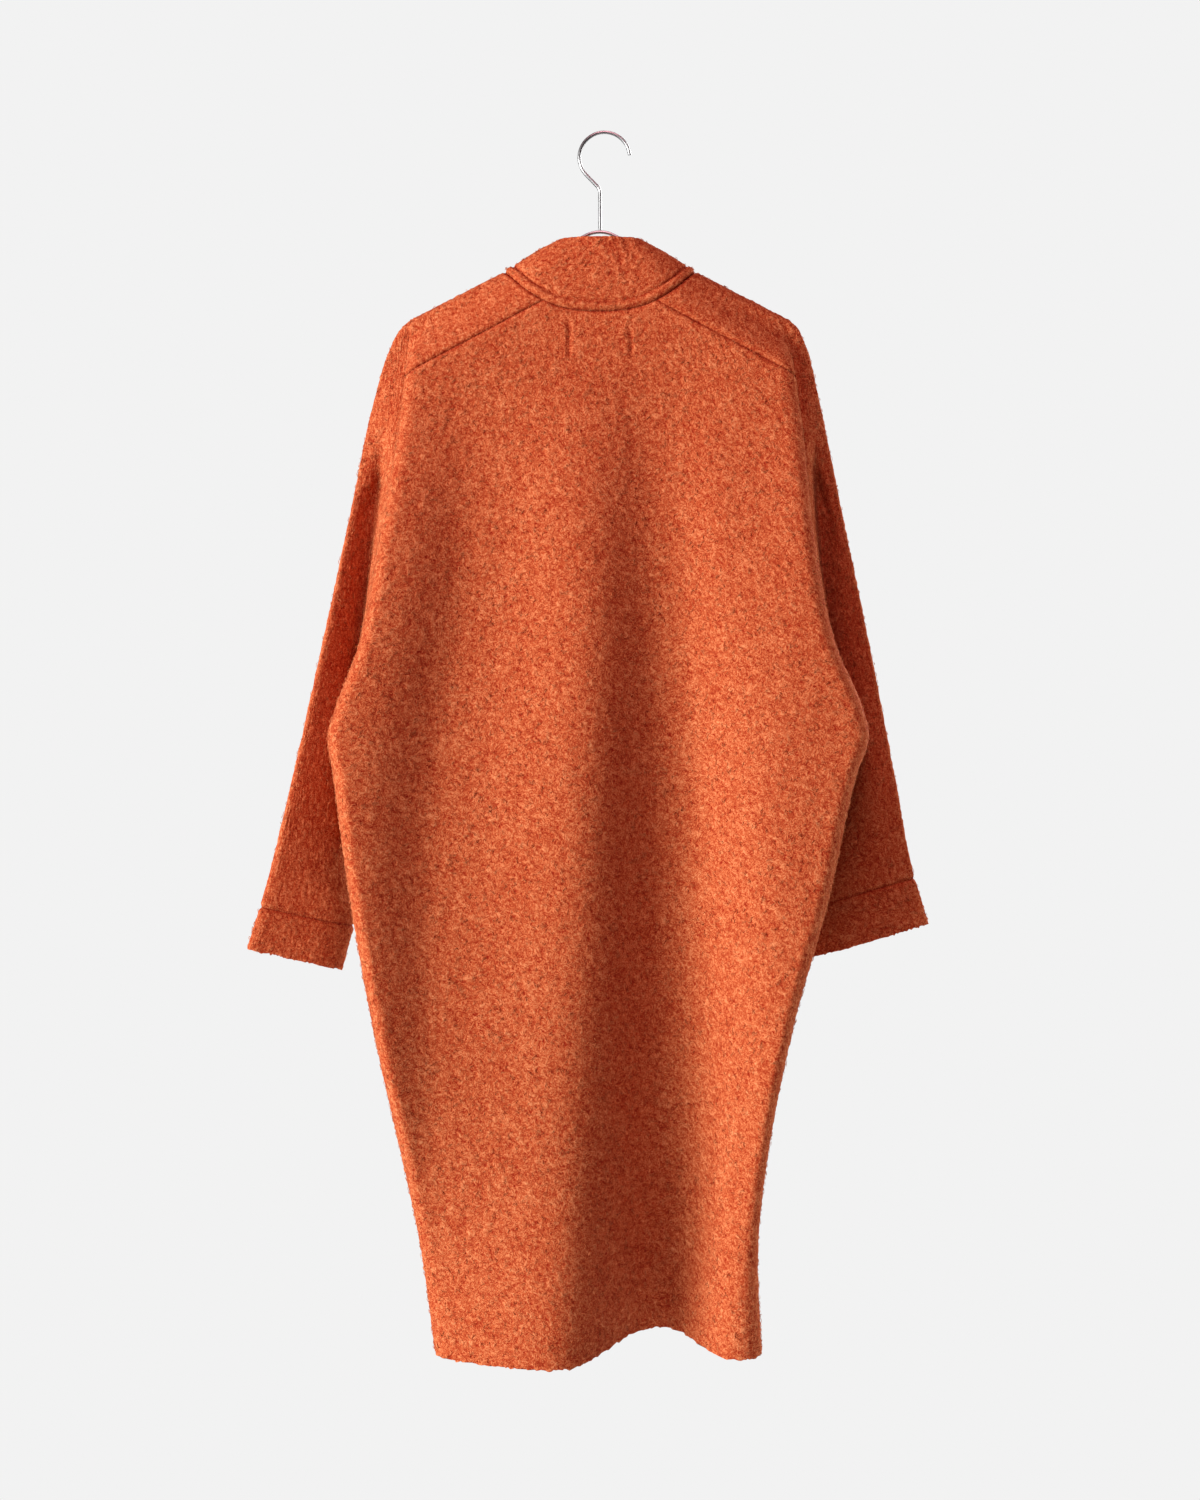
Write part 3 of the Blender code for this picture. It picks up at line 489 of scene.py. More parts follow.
def outer_edge(side, station):
    """A front's outer edge: yoke end, over the shoulder's end, down the armhole, down the side seam."""
    sign = SIDE_SIGN[side]
    ridge = ridge_drop(RIDGE_END_X)
    yoke_x = through(BODY, side, YOKE_END_DROP)
    yoke_y = -through(BODY, "edge", YOKE_END_DROP)
    hanging = np.clip((-RIDGE_TURN - station) / (1 - RIDGE_TURN), 0, 1)
    turn = np.clip(station / RIDGE_TURN + 1, 0, 1) * math.pi / 2
    back_x = blend(RIDGE_END_X, yoke_x, hanging)
    back_y = blend(-RIDGE_RADIUS * np.cos(turn), yoke_y, hanging)
    back_drop = blend(ridge + RIDGE_RADIUS * (1 - np.sin(turn)), YOKE_END_DROP, hanging)
    turn = np.clip(station, 0, 1) * math.pi / 2
    ridge_y = RIDGE_RADIUS * np.sin(turn)
    front_drop = ridge + RIDGE_RADIUS * (1 - np.cos(turn))
    down = np.clip(station - 1, 0, 1)
    armhole_drop = blend(ridge + RIDGE_RADIUS, UNDERARM_DROP, down)
    underarm_y = -through(BODY, "edge", UNDERARM_DROP)
    armhole_x = blend(RIDGE_END_X, through(BODY, side, UNDERARM_DROP), down)
    swell = FRONT_EDGE_SWELL * (4 * down * (1 - down)) ** EDGE_SWELL_POWER
    armhole_y = blend(RIDGE_RADIUS, underarm_y, down ** UNDERARM_POWER) + swell
    seam_drop = side_drop(station)
    seam_x = through(BODY, side, seam_drop)
    seam_y = -through(BODY, "edge", seam_drop)
    stretches = [station < 0, station < 1, station < 2]
    x = np.select(stretches, [back_x, RIDGE_END_X + 0 * station, armhole_x], seam_x)
    y = np.select(stretches, [back_y, ridge_y, armhole_y], seam_y)
    drop = np.select(stretches, [back_drop, front_drop, armhole_drop], seam_drop)
    return sign * x, y, drop


def inner_edge(side, station):
    """A front's inner edge: the neck seam to the ridge, then the band seam down the front."""
    sign = SIDE_SIGN[side]
    ridge = ridge_drop(RIDGE_NECK_X)
    neck_y = back_section(np.array(sign * neck_share(side)), neck_drop(YOKE_NECK_X))[1]
    turn = np.clip(station + 1, 0, 1) * math.pi / 2
    neck_x = blend(YOKE_NECK_X, RIDGE_NECK_X, np.sin(turn))
    back_drop = neck_drop(neck_x)
    back_y = neck_y * np.cos(turn)
    turn = np.clip(station, 0, 1) * math.pi / 2
    ridge_y = NECK_FRONT_RADIUS * np.sin(turn)
    front_drop = ridge + NECK_FRONT_RADIUS * (1 - np.cos(turn))
    down = np.clip(station - 1, 0, 1)
    lower = np.clip(station - 2, 0, 1)
    seam_x = blend(blend(RIDGE_NECK_X, BAND_SEAM_X, ease(down / BAND_TURN)), BAND_SEAM_HEM_X, lower)
    seam_drop = blend(blend(ridge + NECK_FRONT_RADIUS, UNDERARM_DROP, down), FRONT_HEM_DROP, lower)
    seam_y = blend(NECK_FRONT_RADIUS, through(BODY, "front", seam_drop), ease(down / NECK_FALL))
    stretches = [station < 0, station < 1]
    x = np.select(stretches, [neck_x, RIDGE_NECK_X + 0 * station], seam_x)
    y = np.select(stretches, [back_y, ridge_y], seam_y)
    drop = np.select(stretches, [back_drop, front_drop], seam_drop)
    return sign * x, y, drop


def front_points(side, shares, stations):
    """A front panel's grid: a row for each station, a column for each share from its outer edge inwards."""
    share = np.asarray(shares, dtype=float)[None, :]
    station = np.asarray(stations, dtype=float)[:, None]
    outer = outer_edge(side, station)
    inner = inner_edge(side, station)
    quarter = np.sqrt(1 - (1 - share) ** 2)
    drop = blend(outer[2], inner[2], share)
    roundness = through(BODY, "roundness", drop) * ease((station - FRONT_ROUND_START) / FRONT_ROUND_FADE)
    swell = ease(station - 1) * FRONT_SWELL * np.sin(math.pi * share)
    y = blend(outer[1], inner[1], blend(share, quarter, roundness)) + swell
    points = hung(blend(outer[0], inner[0], share), y, drop)
    # The yoke's first row lies on the back's upper edge
    across = SIDE_SIGN[side] * blend(1, neck_share(side), share[0])
    seam = back_points(across, (TOP_STATION,))
    yoke = np.array([[YOKE_STATION]])
    edges = zip(outer_edge(side, yoke), inner_edge(side, yoke))
    first = hung(*(blend(out, back, share) for out, back in edges))
    return points + (seam - first) * ease((-RIDGE_TURN - station) / (1 - RIDGE_TURN))[..., None]


# Sleeves and cuffs


def armhole_loop(side, back_stations, front_stations):
    """The armhole's seam, from the underarm up the back, over the shoulder and down the front."""
    edge = 0 if side == "left" else -1
    back = back_points((-1.0, 1.0), back_stations)[:, edge]
    front = hung(*outer_edge(side, front_stations))
    facing = np.where(front_stations < 0, -1, 1)
    return np.concatenate([back, front]), np.concatenate([-np.ones(len(back)), facing])


def sleeve_points(side, loop, facing, stations):
    """A sleeve's rings: a row for each place from armhole to cuff, a column for each point of the loop."""
    rows = SLEEVES[side]
    sign = SIDE_SIGN[side]
    station = np.asarray(stations, dtype=float)[:, None]
    ridge = ridge_drop(RIDGE_END_X)
    # How far up the sleeve's depth each point of the loop lies: 0 at the underarm, 1 on the shoulder's ridge
    height = np.clip((UNDERARM_DROP + loop[:, 2]) / (UNDERARM_DROP - ridge), 0, 1)[None, :]
    # Towards the cuff the points spread evenly round the tube
    steps = np.arange(len(loop))
    top = int(np.argmax(height))
    half_way = np.where(steps <= top, steps / top, (len(loop) - steps) / (len(loop) - top))
    height = blend(height, (1 - np.cos(math.pi * half_way)) / 2, ease(station))
    x = blend(through(rows, "inner_x", station), through(rows, "outer_x", station), height)
    drop = blend(through(rows, "inner_drop", station), through(rows, "outer_drop", station), height)
    first_x = blend(rows[0].inner_x, rows[0].outer_x, height)
    first_drop = blend(rows[0].inner_drop, rows[0].outer_drop, height)
    left_over = 1 - ease(station / SLEEVE_EASE_REACH)
    x = x + (sign * loop[:, 0] - first_x) * left_over
    drop = drop + (-loop[:, 2] - first_drop) * left_over
    power = blend(*SLEEVE_ROUNDNESS, ease(2 * station))
    thick = (1 - np.abs(2 * height - 1) ** power) ** (1 / power)
    middle_y = through(rows, "depth", station)
    axis_y = blend(middle_y, through(rows, "inner_y", station), (1 - height) ** SLEEVE_EDGE_POWER)
    axis_y = axis_y + (through(rows, "outer_y", station) - middle_y) * height ** SLEEVE_EDGE_POWER
    tube_y = axis_y + facing * through(rows, "half", station) * thick
    # The tube falls back behind the body's edge at once lower down, and slowly below the shoulder
    head = ease((height - SLEEVE_HEAD_HEIGHT) / SLEEVE_HEAD_FADE)
    folded = ease(station / blend(SLEEVE_FOLD_REACH, SLEEVE_HEAD_REACH, head))
    y = blend(loop[:, 1], tube_y, folded)
    # Near its inner edge the tube's front half lies further in than its back half
    lean = SLEEVE_LEAN * folded * (1 - ease(2 * station - 1)) * (1 - height)
    x = x - facing * lean * through(rows, "half", station) * thick
    return hung(sign * x, y, drop)


# Collar and front bands


def free_edge(side, station):
    """The band's free edge opposite a point of the neck or band seam, on one side of the coat."""
    sign = SIDE_SIGN[side]
    narrow = COLLAR_EDGE_X / RIDGE_NECK_X
    turn = np.clip(station + 1, 0, 1) * math.pi / 2
    neck_x = narrow * blend(YOKE_NECK_X, RIDGE_NECK_X, np.sin(turn))
    neck_y = -COLLAR_EDGE_DEPTH * np.sqrt(1 - (YOKE_NECK_X / RIDGE_NECK_X) ** 2) * np.cos(turn)
    over = np.clip(station, 0, 1)
    closing = ease((station - 1) / NECKLINE_STATIONS)
    _, seam_y, seam_drop = inner_edge(side, station)
    ridge_y = COLLAR_FRONT_RADIUS * np.sin(over * math.pi / 2)
    lift = (ridge_drop(RIDGE_NECK_X) - COLLAR_EDGE_DROP) * (1 - closing)
    x = np.where(station < 0, neck_x, blend(COLLAR_EDGE_X, BAND_EDGE_X, closing))
    y = np.select([station < 0, station < 1], [neck_y, ridge_y], blend(COLLAR_FRONT_RADIUS, seam_y, closing))
    drop = np.where(station < 0, COLLAR_EDGE_DROP, seam_drop - lift)
    return sign * x, y, drop


def neck_line(shares):
    """The neck seam across the back panel and the collar's free edge above it."""
    seam = back_points(shares, (TOP_STATION,))[0]
    x = seam[:, 0] * COLLAR_EDGE_X / RIDGE_NECK_X
    y = -COLLAR_EDGE_DEPTH * np.sqrt(1 - (x / COLLAR_EDGE_X) ** 2)
    return seam, hung(x, y, np.full_like(x, COLLAR_EDGE_DROP))


def side_line(side, stations):
    """The neck or band seam and the free edge along one front."""
    return hung(*inner_edge(side, stations)), hung(*free_edge(side, stations))


def strip_points(lines, shares):
    """A stretch of the collar and bands between its seam and its free edge, bowed a little outwards."""
    seam, edge = (np.concatenate(parts) for parts in zip(*lines))
    share = np.asarray(shares)[None, :, None]
    points = blend(seam[:, None], edge[:, None], share)
    out = unit(np.cross(np.gradient(seam, axis=0), edge - seam))
    return points + COLLAR_BOW * np.sin(math.pi * share) * np.abs(out[:, None, 1:2]) * out[:, None]


# Pile


def scatter(cell, seed):
    """A repeatable number from 0 to 1 for each whole-number cell."""
    mixed = seed * SCATTER_SEED
    for axis, factor in enumerate(SCATTER_AXES):
        mixed = mixed ^ (cell[..., axis] * factor)
    for shift, factor in SCATTER_ROUNDS:
        mixed = ((mixed ^ (mixed >> shift)) * factor) & SCATTER_BITS
    return ((mixed ^ (mixed >> SCATTER_SHIFT)) & SCATTER_TOP) / SCATTER_TOP


def soft_noise(points, size, seed):
    """Smooth noise from -1 to 1 with bumps of one size."""
    scaled = points / size
    base = np.floor(scaled).astype(np.int64)
    share = ease(scaled - base)
    total = np.zeros(points.shape[:-1])
    for corner in np.ndindex(2, 2, 2):
        weight = np.prod(np.where(np.array(corner) == 1, share, 1 - share), axis=-1)
        total += weight * scatter(base + np.array(corner), seed)
    return 2 * total - 1


def clumps(points, size, seed):
    """How high each point stands on its clump: towards 1 in the middle, 0 in the gaps between clumps."""
    scaled = points / size
    base = np.floor(scaled).astype(np.int64)
    nearest = np.full(points.shape[:-1], np.inf)
    second = nearest.copy()
    for step in np.ndindex(3, 3, 3):
        cell = base + np.array(step) - 1
        spot = cell + np.stack([scatter(cell, seed + axis) for axis in range(3)], axis=-1)
        far = np.linalg.norm(scaled - spot, axis=-1)
        second = np.minimum(second, np.maximum(nearest, far))
        nearest = np.minimum(nearest, far)
    return np.clip(second - nearest, 0, 1)


def nap_heights(points, clump):
    """The pile's height at each point, about 0 to 1: curly clumps of two sizes, drawn out of shape."""
    points = points * (1, 1, CLUMP_SQUEEZE)
    bend = np.stack([soft_noise(points, BEND_SIZE * clump, BEND_SEED + axis) for axis in range(3)], axis=-1)
    curled = points + BEND_REACH * clump * bend
    large = clumps(curled, clump, LARGE_SEED) ** LARGE_POWER
    curled = curled + SMALL_BEND_REACH * clump * bend[..., ::-1]
    small = clumps(curled, SMALL_CLUMP * clump, SMALL_SEED) ** SMALL_POWER
    patches = 0.5 + 0.5 * soft_noise(points, PATCH_SIZE * clump, PATCH_SEED)
    return np.clip(LARGE_SHARE * large + SMALL_SHARE * small, 0, 1) * blend(*PATCH_HEIGHTS, patches)


# Shells


Shell = namedtuple("Shell", "points normals nap turned closed")


def grid_normals(points, turned, closed):
    """Unit normals of a grid, pointing out of the garment."""
    down = np.gradient(points, axis=0)
    if closed:
        wrapped = np.concatenate([points[:, -1:], points, points[:, :1]], axis=1)
        across = (wrapped[:, 2:] - wrapped[:, :-2]) / 2
    else:
        across = np.gradient(points, axis=1)
    normal = unit(np.cross(down, across))
    return -normal if turned else normal


def edge_distances(points):
    """How far each point of a grid lies along the cloth from the grid's four edges."""
    rows, columns = points.shape[:2]
    down = np.cumsum(step_lengths(points, 0), axis=0)
    across = np.cumsum(step_lengths(points, 1), axis=1)
    from_top = np.concatenate([np.zeros((1, columns)), down])
    from_first = np.concatenate([np.zeros((rows, 1)), across], axis=1)
    return {
        "top": from_top,
        "bottom": from_top[-1:] - from_top,
        "first": from_first,
        "last": from_first[:, -1:] - from_first,
    }


def make_shell(points, seams, turned=False, closed=False, relief=None, ragged=False):
    """Raises the pile on a panel's smooth grid, pressed down at its seams, with any sewn relief added.

    The pile makes a ragged panel's lower edge uneven too.
    """
    cloth = bpy.context.scene.coat_cloth
    normals = grid_normals(points, turned, closed)
    distances = edge_distances(points)
    near = np.full(points.shape[:2], np.inf)
    for name in seams:
        near = np.minimum(near, distances[name])
    free = ease(near / cloth.seam_width)
    nap = nap_heights(points, cloth.clump_size) * blend(SEAM_NAP, 1.0, free)
    lift = cloth.nap_height * (nap - MEAN_NAP) - cloth.seam_depth * (1 - free)
    if relief is not None:
        raised, pressed = relief(points, distances)
        lift = lift + raised
        nap = nap * (1 - PRESSED_NAP * pressed)
    napped = points + normals * lift[..., None]
    if ragged:
        down = unit(points[-1] - points[-2])
        for row, share in RAGGED_ROWS:
            napped[row] += down * (share * RAGGED_DEPTH * (nap[-1] - MEAN_NAP))[:, None]
    return Shell(napped, normals, nap, turned, closed)


def add_mesh(name, vertices, faces, nap, finish):
    """A smooth mesh object beside the hook's bearing point, with its pile heights as an attribute that also
    sets the painted shade and highlight of its colour.
    """
    data = bpy.data.meshes.new(name)
    data.from_pydata((np.asarray(vertices) - (HOOK_OFFSET, 0, 0)).tolist(), [], faces)
    heights = data.attributes.new("nap", "FLOAT", "POINT")
    heights.data.foreach_set("value", np.asarray(nap, dtype=np.float32))
    data.materials.append(finish)
    data.shade_smooth()
    data.validate()
    made = bpy.data.objects.new(name, data)
    bpy.context.scene.collection.objects.link(made)
    return made


def grid_faces(index, closed, reverse):
    """Four-sided faces over a grid of vertex numbers."""
    left = index if closed else index[:, :-1]
    right = np.roll(index, -1, axis=1) if closed else index[:, 1:]
    corners = [left[:-1], left[1:], right[1:], right[:-1]]
    if reverse:
        corners = corners[:1] + corners[:0:-1]
    return np.stack(corners, axis=-1).reshape(-1, 4).tolist()


def rim_faces(edge, back, reverse):
    """One closing face for each step of the inside along an edge."""
    faces = []
    for step in range(len(back) - 1):
        outline = edge[step * INSIDE_STEP:(step + 1) * INSIDE_STEP + 1].tolist()
        face = outline + [int(back[step + 1]), int(back[step])]
        faces.append(face[::-1] if reverse else face)
    return faces


def shell_mesh(name, shell, wall, finish):
    """Closes a shell with a plain inside, one wall thickness behind every few points of its napped face."""
    rows, columns = shell.points.shape[:2]
    around = columns if shell.closed else columns - 1
    if (rows - 1) % INSIDE_STEP or around % INSIDE_STEP:
        raise ValueError(f"The grid of {name} doesn't suit the inside's steps")
    index = np.arange(rows * columns).reshape(rows, columns)
    inner = (shell.points - shell.normals * wall)[::INSIDE_STEP, ::INSIDE_STEP]
    inner_count = inner.shape[0] * inner.shape[1]
    inner_index = rows * columns + np.arange(inner_count).reshape(inner.shape[:2])
    faces = grid_faces(index, shell.closed, False) + grid_faces(inner_index, shell.closed, True)
    if shell.closed:
        # A tube's two rims run all the way round
        index = np.concatenate([index, index[:, :1]], axis=1)
        inner_index = np.concatenate([inner_index, inner_index[:, :1]], axis=1)
    faces += rim_faces(index[0], inner_index[0], False)
    faces += rim_faces(index[-1], inner_index[-1], True)
    if not shell.closed:
        faces += rim_faces(index[:, 0], inner_index[:, 0], True)
        faces += rim_faces(index[:, -1], inner_index[:, -1], False)
    if shell.turned:
        faces = [face[::-1] for face in faces]
    vertices = np.concatenate([shell.points.reshape(-1, 3), inner.reshape(-1, 3)])
    nap = np.concatenate([shell.nap.reshape(-1), np.full(inner_count, INSIDE_NAP)])
    made = add_mesh(name, vertices, faces, nap, finish)
    made.data.set_sharp_from_angle(angle=SHARP_ANGLE)
    return made


def curl_mesh(name, shell, count, seed, finish):
    """Short curls of yarn lying on a shell, each a bent three-sided thread with pointed ends."""
    pile = bpy.context.scene.coat_pile
    chance = np.random.default_rng(seed)
    down = step_lengths(shell.points, 0)[:, :-1]
    across = step_lengths(shell.points, 1)[:-1]
    # Fewer curls lie in the gaps between the clumps
    weight = (down * across * blend(GAP_CURLS, 1.0, shell.nap[:-1, :-1] > MEAN_NAP)).reshape(-1)
    places = chance.choice(weight.size, count, p=weight / weight.sum())
    row, column = np.divmod(places, down.shape[1])
    centre = shell.points[row, column]
    up = shell.normals[row, column]
    # Each curl heads its own way along the cloth
    heading = unit(np.cross(up, chance.normal(size=(count, 3))))
    side = np.cross(up, heading)
    length = pile.length * chance.uniform(*CURL_LENGTHS, count)
    bow = pile.length * chance.uniform(*CURL_BOWS, count)
    twist = pile.length * chance.uniform(*CURL_TWISTS, count)
    rise = pile.rise * chance.uniform(*CURL_RISES, count)
    thick = pile.thickness * chance.uniform(*CURL_WIDTHS, count)
    path = []
    for along in CURL_POINTS:
        sway = bow * math.sin(math.pi * along) + twist * math.sin(2 * math.pi * along)
        climb = rise * math.sin(math.pi * along)
        step = heading * (length * (along - 0.5))[:, None] + side * sway[:, None] + up * climb[:, None]
        path.append(centre + step)
    path = np.stack(path, axis=1)
    corners = []
    for turn in CURL_CORNERS:
        away = up * math.sin(turn) + side * math.cos(turn)
        corners.append(path[:, 1:-1] + (away * thick[:, None])[:, None])
    rings = np.stack(corners, axis=2).reshape(count, -1, 3)
    vertices = np.concatenate([path[:, :1], rings, path[:, -1:]], axis=1)
    per_curl = vertices.shape[1]
    faces = []
    for start in range(0, count * per_curl, per_curl):
        faces.extend([[start + corner for corner in face] for face in CURL_FACES])
    # Painted shade on a curl's ends and lower corners, and a painted highlight on its top corner
    nap = np.tile((CURL_SHADED_END_NAP, *CURL_RING_LIGHT_AND_SHADE_NAP, *CURL_RING_LIGHT_AND_SHADE_NAP, CURL_SHADED_END_NAP), count)
    return add_mesh(name, vertices.reshape(-1, 3), faces, nap, finish)


# Finishes


def principled(name):
    """A node material, and while it is new its tree, its shader and its object-space coordinates."""
    made = bpy.data.materials.get(name)
    if made:
        return made, None, None, None
    made = bpy.data.materials.new(name)
    made.use_nodes = True
    tree = made.node_tree
    shader = tree.nodes["Principled BSDF"]
    place = tree.nodes.new("ShaderNodeTexCoord")
    return made, tree, shader, place.outputs["Object"]


def noise(tree, place, grain):
    """A noise pattern of one grain."""
    made = tree.nodes.new("ShaderNodeTexNoise")
    made.inputs["Scale"].default_value = grain.scale
    made.inputs["Detail"].default_value = grain.detail
    made.inputs["Distortion"].default_value = grain.distortion
    tree.links.new(place, made.inputs["Vector"])
    return made.outputs["Fac"]


def arithmetic(tree, kind, *values):
    """One step of arithmetic on sockets or plain numbers."""
    made = tree.nodes.new("ShaderNodeMath")
    made.operation = kind
    for socket, value in zip(made.inputs, values):
        if hasattr(value, "is_linked"):
            tree.links.new(value, socket)
        else:
            socket.default_value = value
    return made.outputs[0]


def weighed(tree, factor, weight):
    """A factor times its weight's gain, moved by the weight's shift."""
    return arithmetic(tree, "MULTIPLY_ADD", factor, weight.gain, weight.shift)


def colour_steps(tree, factor, steps):
    """A ramp of colours along a factor."""
    made = tree.nodes.new("ShaderNodeValToRGB")
    ramp = made.color_ramp
    while len(ramp.elements) < len(steps):
        ramp.elements.new(0.5)
    for element, (position, colour) in zip(ramp.elements, steps):
        element.position = position
        element.color = (*colour, 1.0)
    tree.links.new(factor, made.inputs["Fac"])
    return made.outputs["Color"]


def wool_finish():
    """Rust wool: painted shade between the clumps and a painted highlight on their tops, with fine curled
    fibres.
    """
    made, tree, shader, place = principled("rust_wool_nap")
    if tree is None:
        return made
    cloth = bpy.context.scene.coat_cloth
    height = tree.nodes.new("ShaderNodeAttribute")
    height.attribute_name = "nap"
    # Thin curled strokes run where a coarser noise passes its middle value
    strands = arithmetic(tree, "SUBTRACT", noise(tree, place, STRAND_GRAIN), 0.5)
    strands = arithmetic(tree, "MULTIPLY", arithmetic(tree, "ABSOLUTE", strands), STRAND_SHARPNESS)
    strokes = weighed(tree, arithmetic(tree, "MINIMUM", strands, 1.0), STROKE_WEIGHT)
    fibres = weighed(tree, noise(tree, place, FIBRE_GRAIN), FIBRE_WEIGHT)
    # The pile's height paints shade and highlight: low pile darkens towards the gap colour, high pile
    # brightens towards the tip colour
    raised = weighed(tree, height.outputs["Fac"], NAP_WEIGHT)
    drift = weighed(tree, noise(tree, place, PATCH_GRAIN), PATCH_WEIGHT)
    shade = arithmetic(tree, "ADD", arithmetic(tree, "ADD", raised, strokes), fibres)
    shade = arithmetic(tree, "ADD", shade, drift)
    steps = list(zip(WOOL_STEPS, (cloth.shaded_gap_colour, cloth.wool_colour, cloth.lit_tip_colour)))
    tree.links.new(colour_steps(tree, shade, steps), shader.inputs["Base Color"])
    bump = tree.nodes.new("ShaderNodeBump")
    bump.inputs["Strength"].default_value = 0.4
    bump.inputs["Distance"].default_value = 0.0018
    tree.links.new(arithmetic(tree, "ADD", strokes, fibres), bump.inputs["Height"])
    tree.links.new(bump.outputs["Normal"], shader.inputs["Normal"])
    shader.inputs["Roughness"].default_value = 0.95
    shader.inputs["Specular IOR Level"].default_value = 0.04
    shader.inputs["Sheen Weight"].default_value = 0.06
    shader.inputs["Sheen Roughness"].default_value = 0.45
    shader.inputs["Sheen Tint"].default_value = (1.0, 0.45, 0.28, 1.0)
    return made


def steel_finish():
    """Satin steel wire with fine drawn marks."""
    made, tree, shader, place = principled("satin_steel_wire")
    if tree is None:
        return made
    bright = tuple(bpy.context.scene.coat_hanger.steel_colour)
    dull = tuple(STEEL_DULLING * part for part in bright)
    marks = noise(tree, place, STEEL_GRAIN)
    steps = list(zip(GRAIN_STEPS, (dull, bright)))
    tree.links.new(colour_steps(tree, marks, steps), shader.inputs["Base Color"])
    tree.links.new(weighed(tree, marks, STEEL_ROUGHNESS), shader.inputs["Roughness"])
    shader.inputs["Metallic"].default_value = 1.0
    return made


def pale_finish():
    """The pale floor."""
    made, tree, shader, place = principled("pale_floor")
    if tree is None:
        return made
    steps = list(zip(GRAIN_STEPS, FLOOR_COLOURS))
    colour = colour_steps(tree, noise(tree, place, FLOOR_GRAIN), steps)
    tree.links.new(colour, shader.inputs["Base Color"])
    shader.inputs["Roughness"].default_value = 0.9
    return made


# Pieces


def steps_for(length, spacing):
    """A number of steps near one spacing that the inside's steps divide."""
    return max(1, round(length / spacing / INSIDE_STEP)) * INSIDE_STEP


def runs(breaks, counts):
    """Even steps between each break and the next."""
    parts = [np.linspace(a, b, n, endpoint=False) for a, b, n in zip(breaks, breaks[1:], counts)]
    return np.concatenate(parts + [[breaks[-1]]])


def flat_cut(points):
    """The width, the length and the area that a panel's smooth grid was cut to."""
    width = step_lengths(points, 1).sum(axis=1).max()
    length = step_lengths(points, 0).sum(axis=0).max()
    edges = np.cross(np.diff(points, axis=0)[:, :-1], np.diff(points, axis=1)[:-1])
    area = np.linalg.norm(edges, axis=-1).sum()
    # A cut that tapers, like a sleeve below a slanted armhole, is as wide as a triangle of its area
    width = min(width, 2 * area / length)
    return (width, length), area


def dress(node, points, shell, wall, curl_share=1.0):
    """Makes one panel's shell and its curls, hangs them on the coat's body and hides the solid part they
    stand for.
    """
    wool = wool_finish()
    size, area = flat_cut(points)
    curls = int(curl_share * int(area * bpy.context.scene.coat_pile.density))
    made = shell_mesh(f"{node}_cloth", shell, wall, wool)
    nap = curl_mesh(f"{node}_curls", shell, curls, CURL_SEEDS[node], wool)
    for piece in (made, nap):
        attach(piece, BODY_NAME)
    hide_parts(node)


def tack_line(points, x, top):
    """A soft upright groove on the back, 1 along its line and 0 away from it."""
    off = np.exp(-(((points[..., 0] - x) / TACK_WIDTH) ** 2))
    drop = -points[..., 2]
    return off * ease((drop - top) / SEWN_FADE) * ease((TACK_BOTTOM - drop) / SEWN_FADE)


def back_relief(points, distances):
    """Two lines of tacking under the collar."""
    tack_x = bpy.context.scene.coat_sewing.tack_x
    left, right = (tack_line(points, SIDE_SIGN[side] * tack_x, top) for side, top in TACK_TOPS.items())
    lines = np.maximum(left, right)
    return -TACK_DEPTH * lines, lines


def welt_relief(points, distances):
    """A raised welt along the neck or band seam, with a sunk line of stitches on its far side."""
    sewing = bpy.context.scene.coat_sewing
    off = distances["first"]
    body = ease(off / SEWN_FADE) * (1 - ease((off - sewing.welt_width + WELT_SLOPE) / SEWN_FADE))
    line = np.exp(-(((off - sewing.welt_width - STITCH_OFFSET) / STITCH_WIDTH) ** 2))
    return sewing.welt_height * body - STITCH_DEPTH * line, line


# Settings


class CoatCloth(bpy.types.PropertyGroup):
    """Sizes and colours of the napped cloth"""

    spacing: FloatProperty(
        name="Spacing", description="Distance between points of the back's napped face",
        default=0.0027, unit="LENGTH"
    )
    plain_spacing: FloatProperty(
        name="Plain spacing", description="Distance between points down the fronts",
        default=0.0040, unit="LENGTH"
    )
    wall: FloatProperty(
        name="Wall", description="Thickness of the knit", default=0.003, unit="LENGTH"
    )
    cuff_wall: FloatProperty(
        name="Cuff wall", description="Thickness of the cuffs", default=0.0045, unit="LENGTH"
    )
    clump_size: FloatProperty(
        name="Clump size", description="Width of a clump of pile", default=0.0075, unit="LENGTH"
    )
    nap_height: FloatProperty(
        name="Nap height", description="Height of the clumps over their gaps", default=0.0021, unit="LENGTH"
    )
    seam_width: FloatProperty(
        name="Seam width", description="How far a seam presses the pile down", default=0.0032, unit="LENGTH"
    )
    seam_depth: FloatProperty(
        name="Seam depth", description="How deep a seam sinks", default=0.0014, unit="LENGTH"
    )
    wool_colour: FloatVectorProperty(
        name="Wool", description="Colour of the wool", subtype="COLOR", default=(0.43, 0.086, 0.027)
    )
    # Painted highlight: the colour that brightens the clumps' tops as if lit
    lit_tip_colour: FloatVectorProperty(
        name="Tips", description="Colour of the clumps' tops", subtype="COLOR", default=(0.62, 0.230, 0.096)
    )
    # Painted shade: the colour that darkens the gaps between the clumps as if shaded
    shaded_gap_colour: FloatVectorProperty(
        name="Gaps", description="Colour between the clumps", subtype="COLOR", default=(0.22, 0.011, 0.004)
    )


